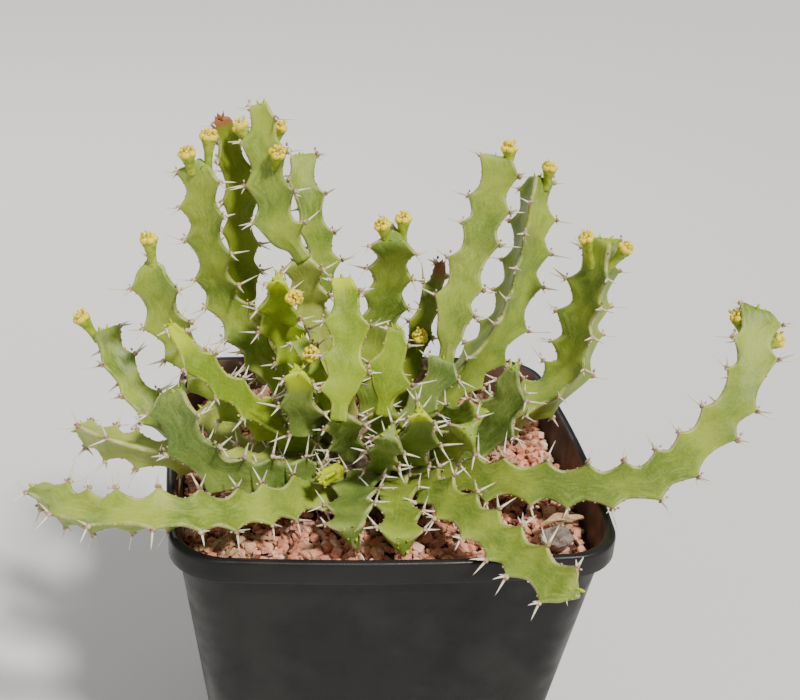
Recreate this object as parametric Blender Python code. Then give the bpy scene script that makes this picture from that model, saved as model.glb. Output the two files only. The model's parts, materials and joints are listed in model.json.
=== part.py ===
"""A potted clump-forming euphorbia: three-winged, toothed succulent stems with small yellow
cyathia, growing from one woody crown in a square plastic pot filled with red grit.

Frame: +Z up, metres, origin at the centre of the pot's underside. The pot's front faces -Y.
"""

import math
from dataclasses import dataclass

import bmesh
import bpy
from mathutils import Matrix, Vector, noise
from mathutils.bvhtree import BVHTree

MM = 0.001
GAP = 0.3 * MM  # clearance between pieces that touch

# Pot: half widths are measured at the middle of a side.
POT_HEIGHT = 110 * MM
POT_RIM_HALF = 65 * MM
POT_BASE_HALF = 47 * MM
POT_WALL = 1.4 * MM
POT_FLOOR = 2.6 * MM
POT_COLLAR_DEPTH = 7 * MM
POT_COLLAR_STEP = 1.6 * MM
POT_CORNER_RADIUS = 16 * MM
POT_SIDE_BOW = 2 * MM
DRAIN_HOLE_RADIUS = 4.5 * MM
DRAIN_HOLE_OFFSET = 27 * MM

# Grit filling
GRIT_LEVEL = 100 * MM
GRIT_BUMP = 1.0 * MM
GRIT_BUMP_SIZE = 9 * MM
GRIT_RINGS = 9

# Woody crown that every basal stem grows from
CROWN_CENTRE = Vector((-1, 2, 100)) * MM
CROWN_RADIUS = 11.2 * MM
CROWN_HEIGHT = 9 * MM
TAPROOT_DEPTH = 22 * MM
TAPROOT_TIP_RADIUS = 3 * MM

# Stems
TOOTH_PITCH = 11.4 * MM
STATIONS_PER_TOOTH = 3
NECK_RADIUS = 2.2 * MM
WAIST_SHARE = 0.6  # wing radius between two teeth, as a share of the tooth radius
VALLEY_SHARE = 0.36  # radius at the middle of a face
TIP_SHARE = 0.72  # how far the last ring draws in
TIP_DOME = 0.16
CROWN_NECK = 24 * MM  # length over which a stem swells from the crown
BRANCH_NECK = 8 * MM  # the same for a branch on another stem
TIP_NARROWS_OVER = 14 * MM
FACE = Vector((-0.1, -0.87, 0.48)).normalized()  # a wing turned to this side has roll 0

# Cyathia
CUP_RADIUS = 2.5 * MM
CUP_LIP = 0.7 * MM
STALK_RADIUS = 0.9 * MM
FLOWER_SIDES = 8
FLOWER_SHORTEST = 5.5 * MM  # foot to rim of the cup
FLOWER_GAP = 0.45 * MM
FLOWER_STEP = 0.1 * MM
FLOWER_LIFT_MOST = 4 * MM

# Loose pieces on the grit
STONE_CENTRE = Vector((48, -44, 103.6)) * MM
STONE_SIZE = Vector((4.8, 3.8, 3.4)) * MM
LEAF_CENTRE = Vector((49, -42, 107)) * MM
LEAF_LENGTH = 13 * MM
LEAF_WIDTH = 3.2 * MM
LEAF_THICKNESS = 0.5 * MM
LEAF_ARCH = 1.2 * MM
LEAF_TILT = 0.6 * MM
LEAF_TURN = 8  # degrees from +X


@dataclass(frozen=True)
class Stem:
    """One stem: the points it passes, root first, and its cross-section. Lengths in mm."""

    name: str
    points: tuple
    wing: float  # radius out to the teeth
    roll: float = 180.0  # degrees from FACE to the first wing, at the root
    twist: float = 0.0  # degrees that the wings turn by on the way to the tip
    tone: str = "leaf"
    tip: float = 0.0  # radius out to the teeth at the tip, or 0 where it doesn't narrow
    branch: bool = False  # grows from another stem, not from the crown


STEMS = (
    Stem("stem_left_sprawling",
         ((-9, -12, 103), (-41, -40, 111), (-63, -53, 118), (-85, -50, 117), (-99, -35, 115)), 7.2, 60, 55,
         tip=5.5),
    Stem("stem_left_pale",
         ((-16, -5, 103), (-57, -19, 116), (-78, -21, 122), (-90, -8, 120)), 6.1, 0, 10, "old", 4.5),
    Stem("stem_left_outer",
         ((-65, -11, 122), (-71, -7, 126), (-80, 0, 138), (-84, 5, 145)), 6.0, -30, branch=True),
    Stem("stem_left_grey",
         ((-13, -9, 105), (-44, -29, 117), (-56, -32, 128), (-62, -29, 143)), 7.9, 40, 0, "grey"),
    Stem("stem_left_leaning", ((-13, -3, 108), (-44, -7, 128), (-62, -7, 151), (-69, -9, 172)), 7.3, 0, 60),
    Stem("stem_left_tall", ((-15, 9, 105), (-45, 18, 145), (-52, 14, 167), (-56, 9, 196)), 7.0, 175),
    Stem("stem_back_left_old",
         ((-11, 12, 105), (-32, 26, 122), (-37, 30, 131), (-41, 28, 142)), 6.8, 180, 0, "old"),
    Stem("stem_back_left_olive",
         ((-41, 28, 145), (-43, 26, 158), (-45, 26, 183), (-50, 26, 205)), 6.3, 180, 30, "olive", 4.5,
         branch=True),
    Stem("stem_back_old",
         ((-7, 12, 109), (-20, 19, 144), (-23, 17, 155), (-26, 12, 167)), 6.8, 180, 0, "old"),
    Stem("stem_back_tallest",
         ((-27, 12, 170), (-32, 14, 177), (-36, 17, 194), (-38, 20, 211)), 8.0, 170, tip=4.2, branch=True),
    Stem("stem_back_slim",
         ((-17, 24, 155), (-19, 26, 162), (-24, 30, 180), (-26, 36, 191)), 6.2, -40, branch=True),
    Stem("stem_middle_left_young",
         ((-13, 6, 108), (-30, 8, 144), (-32, 3, 155), (-33, -5, 167)), 7.3, 180, 0, "young", 4),
    Stem("stem_front_stub", ((-9, -6, 107), (-12, -13, 120), (-15, -20, 131)), 6.7, 180, 0, "grey"),
    Stem("stem_middle_young",
         ((-15, -21, 134), (-13, -12, 150), (-14, -4, 167)), 7.6, 180, 0, "young", 4.5, True),
    Stem("stem_middle_tall", ((-2, 14, 108), (0, 17, 138), (2, 15, 163), (1, 8, 176)), 8.0, 180),
    Stem("stem_back_red_tip",
         ((5, 12, 108), (15, 21, 146), (18, 28, 151), (21, 34, 157)), 4.9, 180, 0, "olive", 2.5),
    Stem("stem_right_stub", ((6, -1, 110), (11, 0, 121), (17, 2, 132), (19, 3, 138)), 6.6, 180, 0, "grey"),
    Stem("stem_right_tall",
         ((20, 4, 141), (22, 8, 155), (29, 14, 175), (34, 20, 197)), 7.5, 172, branch=True),
    Stem("stem_back_right", ((7, 7, 109), (37, 20, 137), (47, 31, 160), (51, 40, 185)), 8.4, -15, tip=6),
    Stem("stem_right_broad", ((13, 5, 103), (57, 10, 124), (65, 13, 148), (68, 13, 174)), 9.2, 10, tip=6.5),
    Stem("stem_right_dark",
         ((14, 0, 103), (31, -5, 112), (38, -7, 127), (38, -9, 141)), 8.8, 30, 0, "grey", 4),
    Stem("stem_right_sweeping",
         ((11, -3, 104), (37, -24, 111), (74, -38, 120), (99, -32, 145), (107, -17, 164)), 7.6, 180),
    Stem("stem_front_right_trailing",
         ((9, -7, 103), (16, -42, 114), (29, -72, 117), (39, -90, 118)), 7.3, 160, 20),
    Stem("stem_front_short", ((3, -9, 103), (2, -32, 108), (1, -54, 109)), 7.6, 180),
    Stem("stem_front_broad", ((-5, -9, 106), (-10, -31, 108), (-13, -50, 110)), 8.2, -40, 0, "grey"),
    Stem("shoot_front_bud", ((-17, -28, 116), (-20, -34, 118)), 3.4, 0, 0, "bud", 2.6, True),
    Stem("stem_front_left_dark",
         ((-13, -3, 114), (-20, -7, 122), (-25, -16, 129), (-28, -24, 147)), 7.2, 180, 0, "grey", 4.5),
    Stem("stem_front_left_slim",
         ((-18, -14, 133), (-22, -8, 140), (-26, -3, 147)), 5.2, 180, 0, "young", 3.5, True),
    Stem("stem_left_inner",
         ((-15, 5, 104), (-24, 3, 111), (-33, 4, 118), (-38, 4, 122)), 6.2, 180, 0, "old"),
    Stem("stem_left_low_old",
         ((-15, 0, 102), (-35, 0, 106), (-45, 8, 106), (-54, 19, 112)), 6.9, 180, 0, "old"),
    Stem("stem_centre_stub", ((-1, -6, 110), (0, -9, 121), (0, -13, 129)), 7.0, 180, 0, "olive"),
    Stem("stem_centre_young", ((-1, -14, 132), (0, -11, 142), (2, -8, 153)), 7.7, 180, 0, "young", 4, True),
    Stem("stem_centre_star", ((6, -9, 107), (8, -22, 125), (6, -35, 140)), 7.6, 180, 0, "grey", 4),
    Stem("stem_centre_small_star", ((0, -11, 107), (-2, -24, 119), (-2, -37, 134)), 5.7, 180, 0, "grey"),
    Stem("stem_centre_right_blade", ((11, -7, 107), (20, -18, 121), (22, -29, 131)), 6.6, 180),
    Stem("stem_centre_right_short", ((10, 4, 110), (21, -4, 120), (28, -13, 128)), 6.3, 180),
    Stem("shoot_left_bright",
         ((-31, -12, 122), (-43, -17, 134), (-56, -19, 147), (-63, -18, 158)), 5.6, 200, 0, "young", 2.4,
         branch=True),
)


@dataclass(frozen=True)
class Flower:
    """One stalked cyathium: the stem it stands on, the spot its foot seeks and its cup. Lengths in mm."""

    name: str
    host: str
    foot: tuple
    cup: tuple


FLOWERS = (
    Flower("flower_left_outer", "stem_left_outer", (-87, 5, 143), (-89.5, 4, 150)),
    Flower("flower_left_leaning", "stem_left_leaning", (-68, -10, 173), (-69, -10, 180)),
    Flower("flower_left_tall_left", "stem_left_tall", (-58, 7, 195), (-59, 6, 200)),
    Flower("flower_left_tall_right", "stem_left_tall", (-53, 9, 196), (-53, 9, 204)),
    Flower("flower_tallest_left", "stem_back_tallest", (-42, 19, 198), (-44, 19, 204.5)),
    Flower("flower_tallest_right_back", "stem_back_tallest", (-34, 21, 198), (-33, 21, 204)),
    Flower("flower_tallest_right_front", "stem_back_tallest", (-34, 14, 195), (-33.5, 11, 199.5)),
    Flower("flower_middle_left", "stem_middle_left_young", (-29, -4, 160), (-28.5, -9, 163)),
    Flower("flower_front_left", "stem_front_left_slim", (-24, -9, 143), (-23.5, -13, 147)),
    Flower("flower_middle_left_tip", "stem_middle_tall", (-1, 7, 174), (-2.5, 6, 180)),
    Flower("flower_middle_right_tip", "stem_middle_tall", (4, 9, 175), (4, 9, 181)),
    Flower("flower_red_tip", "stem_back_red_tip", (13, 16, 136), (12.5, 13, 141)),
    Flower("flower_right_tall", "stem_right_tall", (36, 19, 195), (36, 19, 200.5)),
    Flower("flower_back_right", "stem_back_right", (54, 38, 183), (54, 38, 189)),
    Flower("flower_right_broad_left", "stem_right_broad", (62, 11, 167), (61, 11, 175.5)),
    Flower("flower_right_broad_right", "stem_right_broad", (73, 9, 166), (73, 9, 173)),
    Flower("flower_sweeping_left", "stem_right_sweeping", (101, -18, 156), (101, -18, 162.5)),
    Flower("flower_sweeping_right", "stem_right_sweeping", (112, -22, 151), (112.5, -22, 157)),
)

TONES = {
    "leaf": (0.30, 0.42, 0.12, 1.0),
    "young": (0.33, 0.48, 0.08, 1.0),
    "grey": (0.22, 0.33, 0.14, 1.0),
    "olive": (0.24, 0.32, 0.08, 1.0),
    "old": (0.46, 0.52, 0.24, 1.0),
    "bud": (0.50, 0.58, 0.05, 1.0),
}


def clear_scene():
    for thing in list(bpy.data.objects):
        bpy.data.objects.remove(thing, do_unlink=True)


def material(name, colour, roughness, metallic=0.0):
    made = bpy.data.materials.new(name)
    made.use_nodes = True
    shader = made.node_tree.nodes["Principled BSDF"]
    shader.inputs["Base Color"].default_value = colour
    shader.inputs["Roughness"].default_value = roughness
    shader.inputs["Metallic"].default_value = metallic
    return made


def add_object(name, mesh_maker, finish, smooth_angle=None):
    """Makes an object from a bmesh whose faces are turned outwards."""
    bmesh.ops.recalc_face_normals(mesh_maker, faces=mesh_maker.faces)
    mesh = bpy.data.meshes.new(name)
    mesh_maker.to_mesh(mesh)
    mesh_maker.free()
    mesh.materials.append(finish)
    thing = bpy.data.objects.new(name, mesh)
    bpy.context.scene.collection.objects.link(thing)
    if smooth_angle is not None:
        mesh.shade_smooth()
        mesh.set_sharp_from_angle(angle=math.radians(smooth_angle))
    return thing


def bridge_rings(maker, rings):
    """Joins each ring of vertices to the next one with quads."""
    for lower, upper in zip(rings, rings[1:]):
        for k in range(len(lower)):
            after = (k + 1) % len(lower)
            maker.faces.new((lower[k], lower[after], upper[after], upper[k]))


def close_with_fan(maker, ring, centre):
    hub = maker.verts.new(centre)
    for k, corner in enumerate(ring):
        maker.faces.new((corner, ring[(k + 1) % len(ring)], hub))


# ---------------------------------------------------------------- pot


def pot_outline(half, side_steps=4, corner_steps=4):
    """A square with round corners and slightly bowed sides, of this half width at mid-side."""
    radius = POT_CORNER_RADIUS * half / POT_RIM_HALF
    bow = POT_SIDE_BOW * half / POT_RIM_HALF
    straight = half - bow - radius
    points = []
    for quarter in range(4):
        turn = quarter * math.pi / 2
        side = []
        for step in range(side_steps + 1):
            along = -1 + 2 * step / side_steps
            side.append(Vector((along * straight, -(half - bow * along * along), 0)))
        for step in range(1, corner_steps):
            angle = -math.pi / 2 + step * math.pi / 2 / corner_steps
            centre = Vector((straight, -straight, 0))
            side.append(centre + radius * Vector((math.cos(angle), math.sin(angle), 0)))
        for point in side:
            x = point.x * math.cos(turn) - point.y * math.sin(turn)
            y = point.x * math.sin(turn) + point.y * math.cos(turn)
            points.append(Vector((x, y, 0)))
    return points


def wall_half(height):
    """Half width of the tapered outer wall, below the collar."""
    top = POT_RIM_HALF - POT_COLLAR_STEP
    return POT_BASE_HALF + (top - POT_BASE_HALF) * height / POT_HEIGHT


def outline_ring(maker, half, height):
    return [maker.verts.new(point + Vector((0, 0, height))) for point in pot_outline(half)]


def make_pot(finish):
    collar = POT_HEIGHT - POT_COLLAR_DEPTH
    edge = 0.5 * MM
    maker = bmesh.new()
    rings = [
        outline_ring(maker, wall_half(0) - edge, 0),
        outline_ring(maker, wall_half(edge), edge * 2),
        outline_ring(maker, wall_half(collar), collar),
        outline_ring(maker, POT_RIM_HALF - edge, collar),
        outline_ring(maker, POT_RIM_HALF, collar + edge),
        outline_ring(maker, POT_RIM_HALF, POT_HEIGHT - edge),
        outline_ring(maker, POT_RIM_HALF - edge, POT_HEIGHT),
        outline_ring(maker, wall_half(POT_HEIGHT) - POT_WALL, POT_HEIGHT),
        outline_ring(maker, wall_half(collar) - POT_WALL, collar),
        outline_ring(maker, wall_half(POT_FLOOR) - POT_WALL, POT_FLOOR),
    ]
    bridge_rings(maker, rings)
    maker.faces.new(rings[0])
    maker.faces.new(rings[-1])
    pot = add_object("pot", maker, finish, 40)
    holes = drain_hole_cutter()
    cut = pot.modifiers.new("drain_holes", "BOOLEAN")
    cut.object = holes
    return pot


def drain_hole_cutter():
    """Four round pegs that cut the drainage holes, one near each corner of the floor."""
    maker = bmesh.new()
    for x in (-DRAIN_HOLE_OFFSET, DRAIN_HOLE_OFFSET):
        for y in (-DRAIN_HOLE_OFFSET, DRAIN_HOLE_OFFSET):
            made = bmesh.ops.create_cone(maker, cap_ends=True, segments=16, radius1=DRAIN_HOLE_RADIUS,
                                         radius2=DRAIN_HOLE_RADIUS, depth=POT_FLOOR * 4)
            bmesh.ops.translate(maker, verts=made["verts"], vec=(x, y, 0))
    cutter = add_object("drain_hole_cutter", maker, None)
    cutter.hide_render = True
    cutter.display_type = "WIRE"
    return cutter


# ---------------------------------------------------------------- grit, crown


def grit_height(x, y):
    """Level of the grit: lumpy, dished at the front left and smooth under the crown."""
    lumps = noise.noise(Vector((x, y, 0)) / GRIT_BUMP_SIZE)
    lumps += 0.6 * noise.noise(Vector((y, x, 5)) / GRIT_BUMP_SIZE * 2)
    hollow = math.exp(-((x + 26 * MM) ** 2 + (y + 38 * MM) ** 2) / (14 * MM) ** 2)
    return GRIT_LEVEL - 0.6 * MM + GRIT_BUMP * max(-1, min(1, lumps)) * 0.6 - 2.2 * MM * hollow


def make_grit(finish):
    """The filling: it follows the inside of the pot and has a lumpy top."""
    maker = bmesh.new()
    top = wall_half(GRIT_LEVEL) - POT_WALL - GAP
    low = wall_half(POT_FLOOR) - POT_WALL - GAP
    rings = [
        outline_ring(maker, low - 1 * MM, POT_FLOOR + GAP),
        outline_ring(maker, low, POT_FLOOR + GAP + 1 * MM),
    ]
    for step in range(GRIT_RINGS):
        share = 1 - step / GRIT_RINGS
        ring = outline_ring(maker, top * share, 0)
        for corner in ring:
            corner.co.z = grit_height(corner.co.x, corner.co.y)
        rings.append(ring)
    bridge_rings(maker, rings)
    maker.faces.new(rings[0])
    close_with_fan(maker, rings[-1], (0, 0, grit_height(0, 0)))
    grit = add_object("grit", maker, finish, 50)
    socket = make_crown_body("crown_socket_cutter", None, GAP)
    socket.hide_render = True
    socket.display_type = "WIRE"
    cut = grit.modifiers.new("crown_socket", "BOOLEAN")
    cut.object = socket
    return grit


def make_crown_body(name, finish, grow=0.0):
    """A knobbly dome on a short taproot. grow makes it larger all round."""
    sides = 14
    profile = [
        (TAPROOT_TIP_RADIUS, -TAPROOT_DEPTH),
        (TAPROOT_TIP_RADIUS * 1.8, -TAPROOT_DEPTH * 0.6),
        (CROWN_RADIUS * 0.86, -3 * MM),
        (CROWN_RADIUS, 0),
        (CROWN_RADIUS * 0.95, CROWN_HEIGHT * 0.45),
        (CROWN_RADIUS * 0.68, CROWN_HEIGHT * 0.82),
    ]
    maker = bmesh.new()
    rings = []
    for radius, height in profile:
        ring = []
        for k in range(sides):
            angle = math.tau * k / sides
            knob = 1 + 0.06 * math.sin(5 * angle)
            reach = radius * knob + grow
            place = Vector((reach * math.cos(angle), reach * math.sin(angle), height))
            ring.append(maker.verts.new(CROWN_CENTRE + place))
        rings.append(ring)
    bridge_rings(maker, rings)
    close_with_fan(maker, rings[0], CROWN_CENTRE + Vector((0, 0, -TAPROOT_DEPTH - 1.5 * MM - grow)))
    close_with_fan(maker, rings[-1], CROWN_CENTRE + Vector((0, 0, CROWN_HEIGHT + grow)))
    return add_object(name, maker, finish, 60)


# ---------------------------------------------------------------- stems


def curve_point(points, share):
    """A point of the Catmull-Rom curve through these points, at 0 to 1 of its length in spans."""
    spans = len(points) - 1
    index = min(int(share * spans), spans - 1)
    t = share * spans - index
    here, after = points[index], points[index + 1]
    before = points[index - 1] if index > 0 else 2 * here - after
    beyond = points[index + 2] if index + 2 <= spans else 2 * after - here
    return 0.5 * (
        2 * here
        + (after - before) * t
        + (2 * before - 5 * here + 4 * after - beyond) * t * t
        + (3 * here - before - 3 * after + beyond) * t ** 3
    )


def even_route(points, pitch):
    """The curve through these points, as stations a near-equal distance apart."""
    fine = [curve_point(points, step / 200) for step in range(201)]
    lengths = [0.0]
    for a, b in zip(fine, fine[1:]):
        lengths.append(lengths[-1] + (b - a).length)
    count = max(4, round(lengths[-1] / pitch))
    stations = []
    at = 0
    for step in range(count + 1):
        wanted = lengths[-1] * step / count
        while at < 199 and lengths[at + 1] < wanted:
            at += 1
        share = (wanted - lengths[at]) / (lengths[at + 1] - lengths[at])
        stations.append(fine[at].lerp(fine[at + 1], share))
    return stations, lengths[-1]


def smooth_step(value):
    value = max(0.0, min(1.0, value))
    return value * value * (3 - 2 * value)


def stem_frame(stations, index):
    """Direction of the stem at a station, and the two directions square to it."""
    before = stations[max(index - 1, 0)]
    after = stations[min(index + 1, len(stations) - 1)]
    ahead = (after - before).normalized()
    front = (FACE - FACE.dot(ahead) * ahead).normalized()
    return ahead, front, ahead.cross(front)


def make_stem(stem, finish):
    """Three toothed wings round a curved axis. The teeth of the wings take turns up the stem."""
    points = [Vector(point) * MM for point in stem.points]
    stations, length = even_route(points, TOOTH_PITCH / STATIONS_PER_TOOTH)
    neck_length = min(BRANCH_NECK, 0.3 * length) if stem.branch else min(CROWN_NECK, 0.5 * length)
    maker = bmesh.new()
    rings = []
    last = len(stations) - 1
    for index, station in enumerate(stations):
        share = index / last
        ahead, front, side = stem_frame(stations, index)
        swell = smooth_step(share * length / neck_length)
        wing = stem.wing * MM
        if stem.tip:
            wing += (stem.tip * MM - wing) * smooth_step(1 - (1 - share) * length / TIP_NARROWS_OVER)
        draw_in = TIP_SHARE if index == last else 1.0
        ring = []
        for corner in range(6):
            angle = math.radians(stem.roll + stem.twist * share) + corner * math.pi / 3
            if corner % 2:
                full = wing * VALLEY_SHARE
            elif (last - index + 1) % 3 == corner // 2:
                full = wing
            else:
                full = wing * WAIST_SHARE
            neck = NECK_RADIUS if corner % 2 == 0 else NECK_RADIUS * 0.8
            reach = (neck + (full - neck) * swell) * draw_in
            outward = front * math.cos(angle) + side * math.sin(angle)
            ring.append(maker.verts.new(station + reach * outward))
        rings.append(ring)
    bridge_rings(maker, rings)
    close_with_fan(maker, rings[0], stations[0])
    ahead = stem_frame(stations, last)[0]
    close_with_fan(maker, rings[-1], stations[-1] + ahead * wing * TIP_DOME)
    return add_object(stem.name, maker, finish)


# ---------------------------------------------------------------- cyathia, leaf, stone


def flower_rings(foot, cup):
    """Points of a cyathium's rings, from the foot of its stalk to the open cup."""
    upright = (cup - foot).normalized()
    height = (cup - foot).length
    across = upright.orthogonal().normalized()
    along = upright.cross(across)
    profile = (
        (STALK_RADIUS, 0.0),
        (STALK_RADIUS * 1.15, height * 0.35),
        (CUP_RADIUS * 0.6, height * 0.62),
        (CUP_RADIUS * 0.92, height * 0.85),
        (CUP_RADIUS, height),
        (CUP_RADIUS * 0.7, height + CUP_LIP),
    )
    rings = []
    for radius, level in profile:
        middle = foot + level * upright
        ring = []
        for k in range(FLOWER_SIDES):
            angle = math.tau * k / FLOWER_SIDES
            ring.append(middle + radius * (across * math.cos(angle) + along * math.sin(angle)))
        rings.append(ring)
    return rings


def is_clear(points, host_tree):
    """Whether every point lies outside the host by at least the flowers' gap."""
    for point in points:
        near, normal, _, distance = host_tree.find_nearest(point)
        if distance < FLOWER_GAP or (point - near).dot(normal) < 0:
            return False
    return True


def make_flower(flower, host, finish):
    """Stands the cyathium on its host: its foot goes to the host's skin and lifts off it until clear."""
    host_tree = BVHTree.FromPolygons([vertex.co for vertex in host.data.vertices],
                                     [tuple(face.vertices) for face in host.data.polygons])
    near, normal, _, _ = host_tree.find_nearest(Vector(flower.foot) * MM)
    cup = Vector(flower.cup) * MM
    lift = FLOWER_GAP
    while lift < FLOWER_LIFT_MOST:
        foot = near + lift * normal
        reach = max((cup - foot).length, FLOWER_SHORTEST)
        rings = flower_rings(foot, foot + reach * (cup - foot).normalized())
        if is_clear([foot] + [point for ring in rings for point in ring], host_tree):
            break
        lift += FLOWER_STEP
        cup += FLOWER_STEP * normal
    maker = bmesh.new()
    made = [[maker.verts.new(point) for point in ring] for ring in rings]
    bridge_rings(maker, made)
    close_with_fan(maker, made[0], foot)
    close_with_fan(maker, made[-1], foot + (reach + CUP_LIP * 1.3) * (cup - foot).normalized())
    return add_object(flower.name, maker, finish, 40)


def make_stone(finish):
    """A small angular stone on the grit at the front right."""
    maker = bmesh.new()
    bmesh.ops.create_icosphere(maker, subdivisions=2, radius=1.0)
    for corner in maker.verts:
        rough = 1 + 0.22 * noise.noise(corner.co * 1.7 + Vector((3, 1, 2)))
        flat = max(-0.8, min(0.85, corner.co.z))
        shape = Vector((corner.co.x, corner.co.y, flat)) * rough
        corner.co = STONE_CENTRE + shape * STONE_SIZE
    return add_object("stone", maker, finish)


def make_dry_leaf(finish):
    """A narrow, arched, dried leaf lying across the stone."""
    steps = 8
    maker = bmesh.new()
    rings = []
    turn = Matrix.Rotation(math.radians(LEAF_TURN), 3, "Z")
    for step in range(steps + 1):
        along = -1 + 2 * step / steps
        half = LEAF_WIDTH / 2 * (0.15 + 0.85 * (1 - along * along))
        lift = LEAF_ARCH * (1 - along * along)
        left = Vector((along * LEAF_LENGTH / 2, -half, lift))
        right = Vector((along * LEAF_LENGTH / 2, half, lift + LEAF_TILT))
        thick = Vector((0, 0, LEAF_THICKNESS))
        ring = [LEAF_CENTRE + turn @ place for place in (left, right, right + thick, left + thick)]
        rings.append([maker.verts.new(place) for place in ring])
    bridge_rings(maker, rings)
    maker.faces.new(rings[0])
    maker.faces.new(rings[-1])
    return add_object("dry_leaf", maker, finish)


def main():
    clear_scene()
    plastic = material("black_plastic", (0.012, 0.012, 0.013, 1.0), 0.45)
    grit_finish = material("red_grit", (0.42, 0.17, 0.11, 1.0), 0.9)
    bark = material("bark", (0.22, 0.13, 0.08, 1.0), 0.9)
    make_pot(plastic)
    make_grit(grit_finish)
    make_crown_body("crown", bark)
    skins = {tone: material("skin_" + tone, colour, 0.45) for tone, colour in TONES.items()}
    stems = {stem.name: make_stem(stem, skins[stem.tone]) for stem in STEMS}
    petal = material("yellow_cup", (0.85, 0.62, 0.06, 1.0), 0.5)
    for flower in FLOWERS:
        make_flower(flower, stems[flower.host], petal)
    make_stone(material("grey_stone", (0.20, 0.17, 0.14, 1.0), 0.9))
    make_dry_leaf(material("dried_leaf", (0.42, 0.28, 0.12, 1.0), 0.8))


main()
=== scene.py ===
"""Potted euphorbia: a clump of toothed, three-winged succulent stems with yellow cyathia.

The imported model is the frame. Every stem, shoot and cyathium of it is replaced by a finely
modelled piece on the same route, the grit by separate grains over a bed, and the pot by one with
a rolled rim. Everything rides on the one body, because nothing on the plant moves.
"""

import json
import logging
import math
import random
from dataclasses import dataclass, field
from enum import Enum

import bpy
from mathutils import Matrix, Vector, noise

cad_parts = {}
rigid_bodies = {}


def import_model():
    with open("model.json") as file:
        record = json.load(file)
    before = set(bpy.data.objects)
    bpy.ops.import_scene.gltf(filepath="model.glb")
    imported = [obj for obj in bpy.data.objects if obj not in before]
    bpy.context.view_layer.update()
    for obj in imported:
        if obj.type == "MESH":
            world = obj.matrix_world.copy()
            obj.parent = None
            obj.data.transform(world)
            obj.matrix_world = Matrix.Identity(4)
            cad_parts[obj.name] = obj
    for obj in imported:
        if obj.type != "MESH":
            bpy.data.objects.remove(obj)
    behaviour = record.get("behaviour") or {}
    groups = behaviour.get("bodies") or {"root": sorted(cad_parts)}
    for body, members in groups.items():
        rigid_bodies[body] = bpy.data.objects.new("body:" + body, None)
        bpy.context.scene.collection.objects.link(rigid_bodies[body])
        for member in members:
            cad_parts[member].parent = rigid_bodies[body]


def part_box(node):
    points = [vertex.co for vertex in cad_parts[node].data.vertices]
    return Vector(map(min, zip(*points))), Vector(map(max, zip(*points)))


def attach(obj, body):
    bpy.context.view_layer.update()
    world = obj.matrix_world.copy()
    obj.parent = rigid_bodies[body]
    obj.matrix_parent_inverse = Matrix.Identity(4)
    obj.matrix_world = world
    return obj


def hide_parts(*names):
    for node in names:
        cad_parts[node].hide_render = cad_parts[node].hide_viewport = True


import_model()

LOG = logging.getLogger("euphorbia")
MM = 0.001
BODY = "root"

Point = tuple[float, float, float]
Value = bpy.types.NodeSocket | float | tuple  # what can be fed to a socket
Colour = tuple[float, float, float]


# ------------------------------------------------------------------ node helpers


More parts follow.
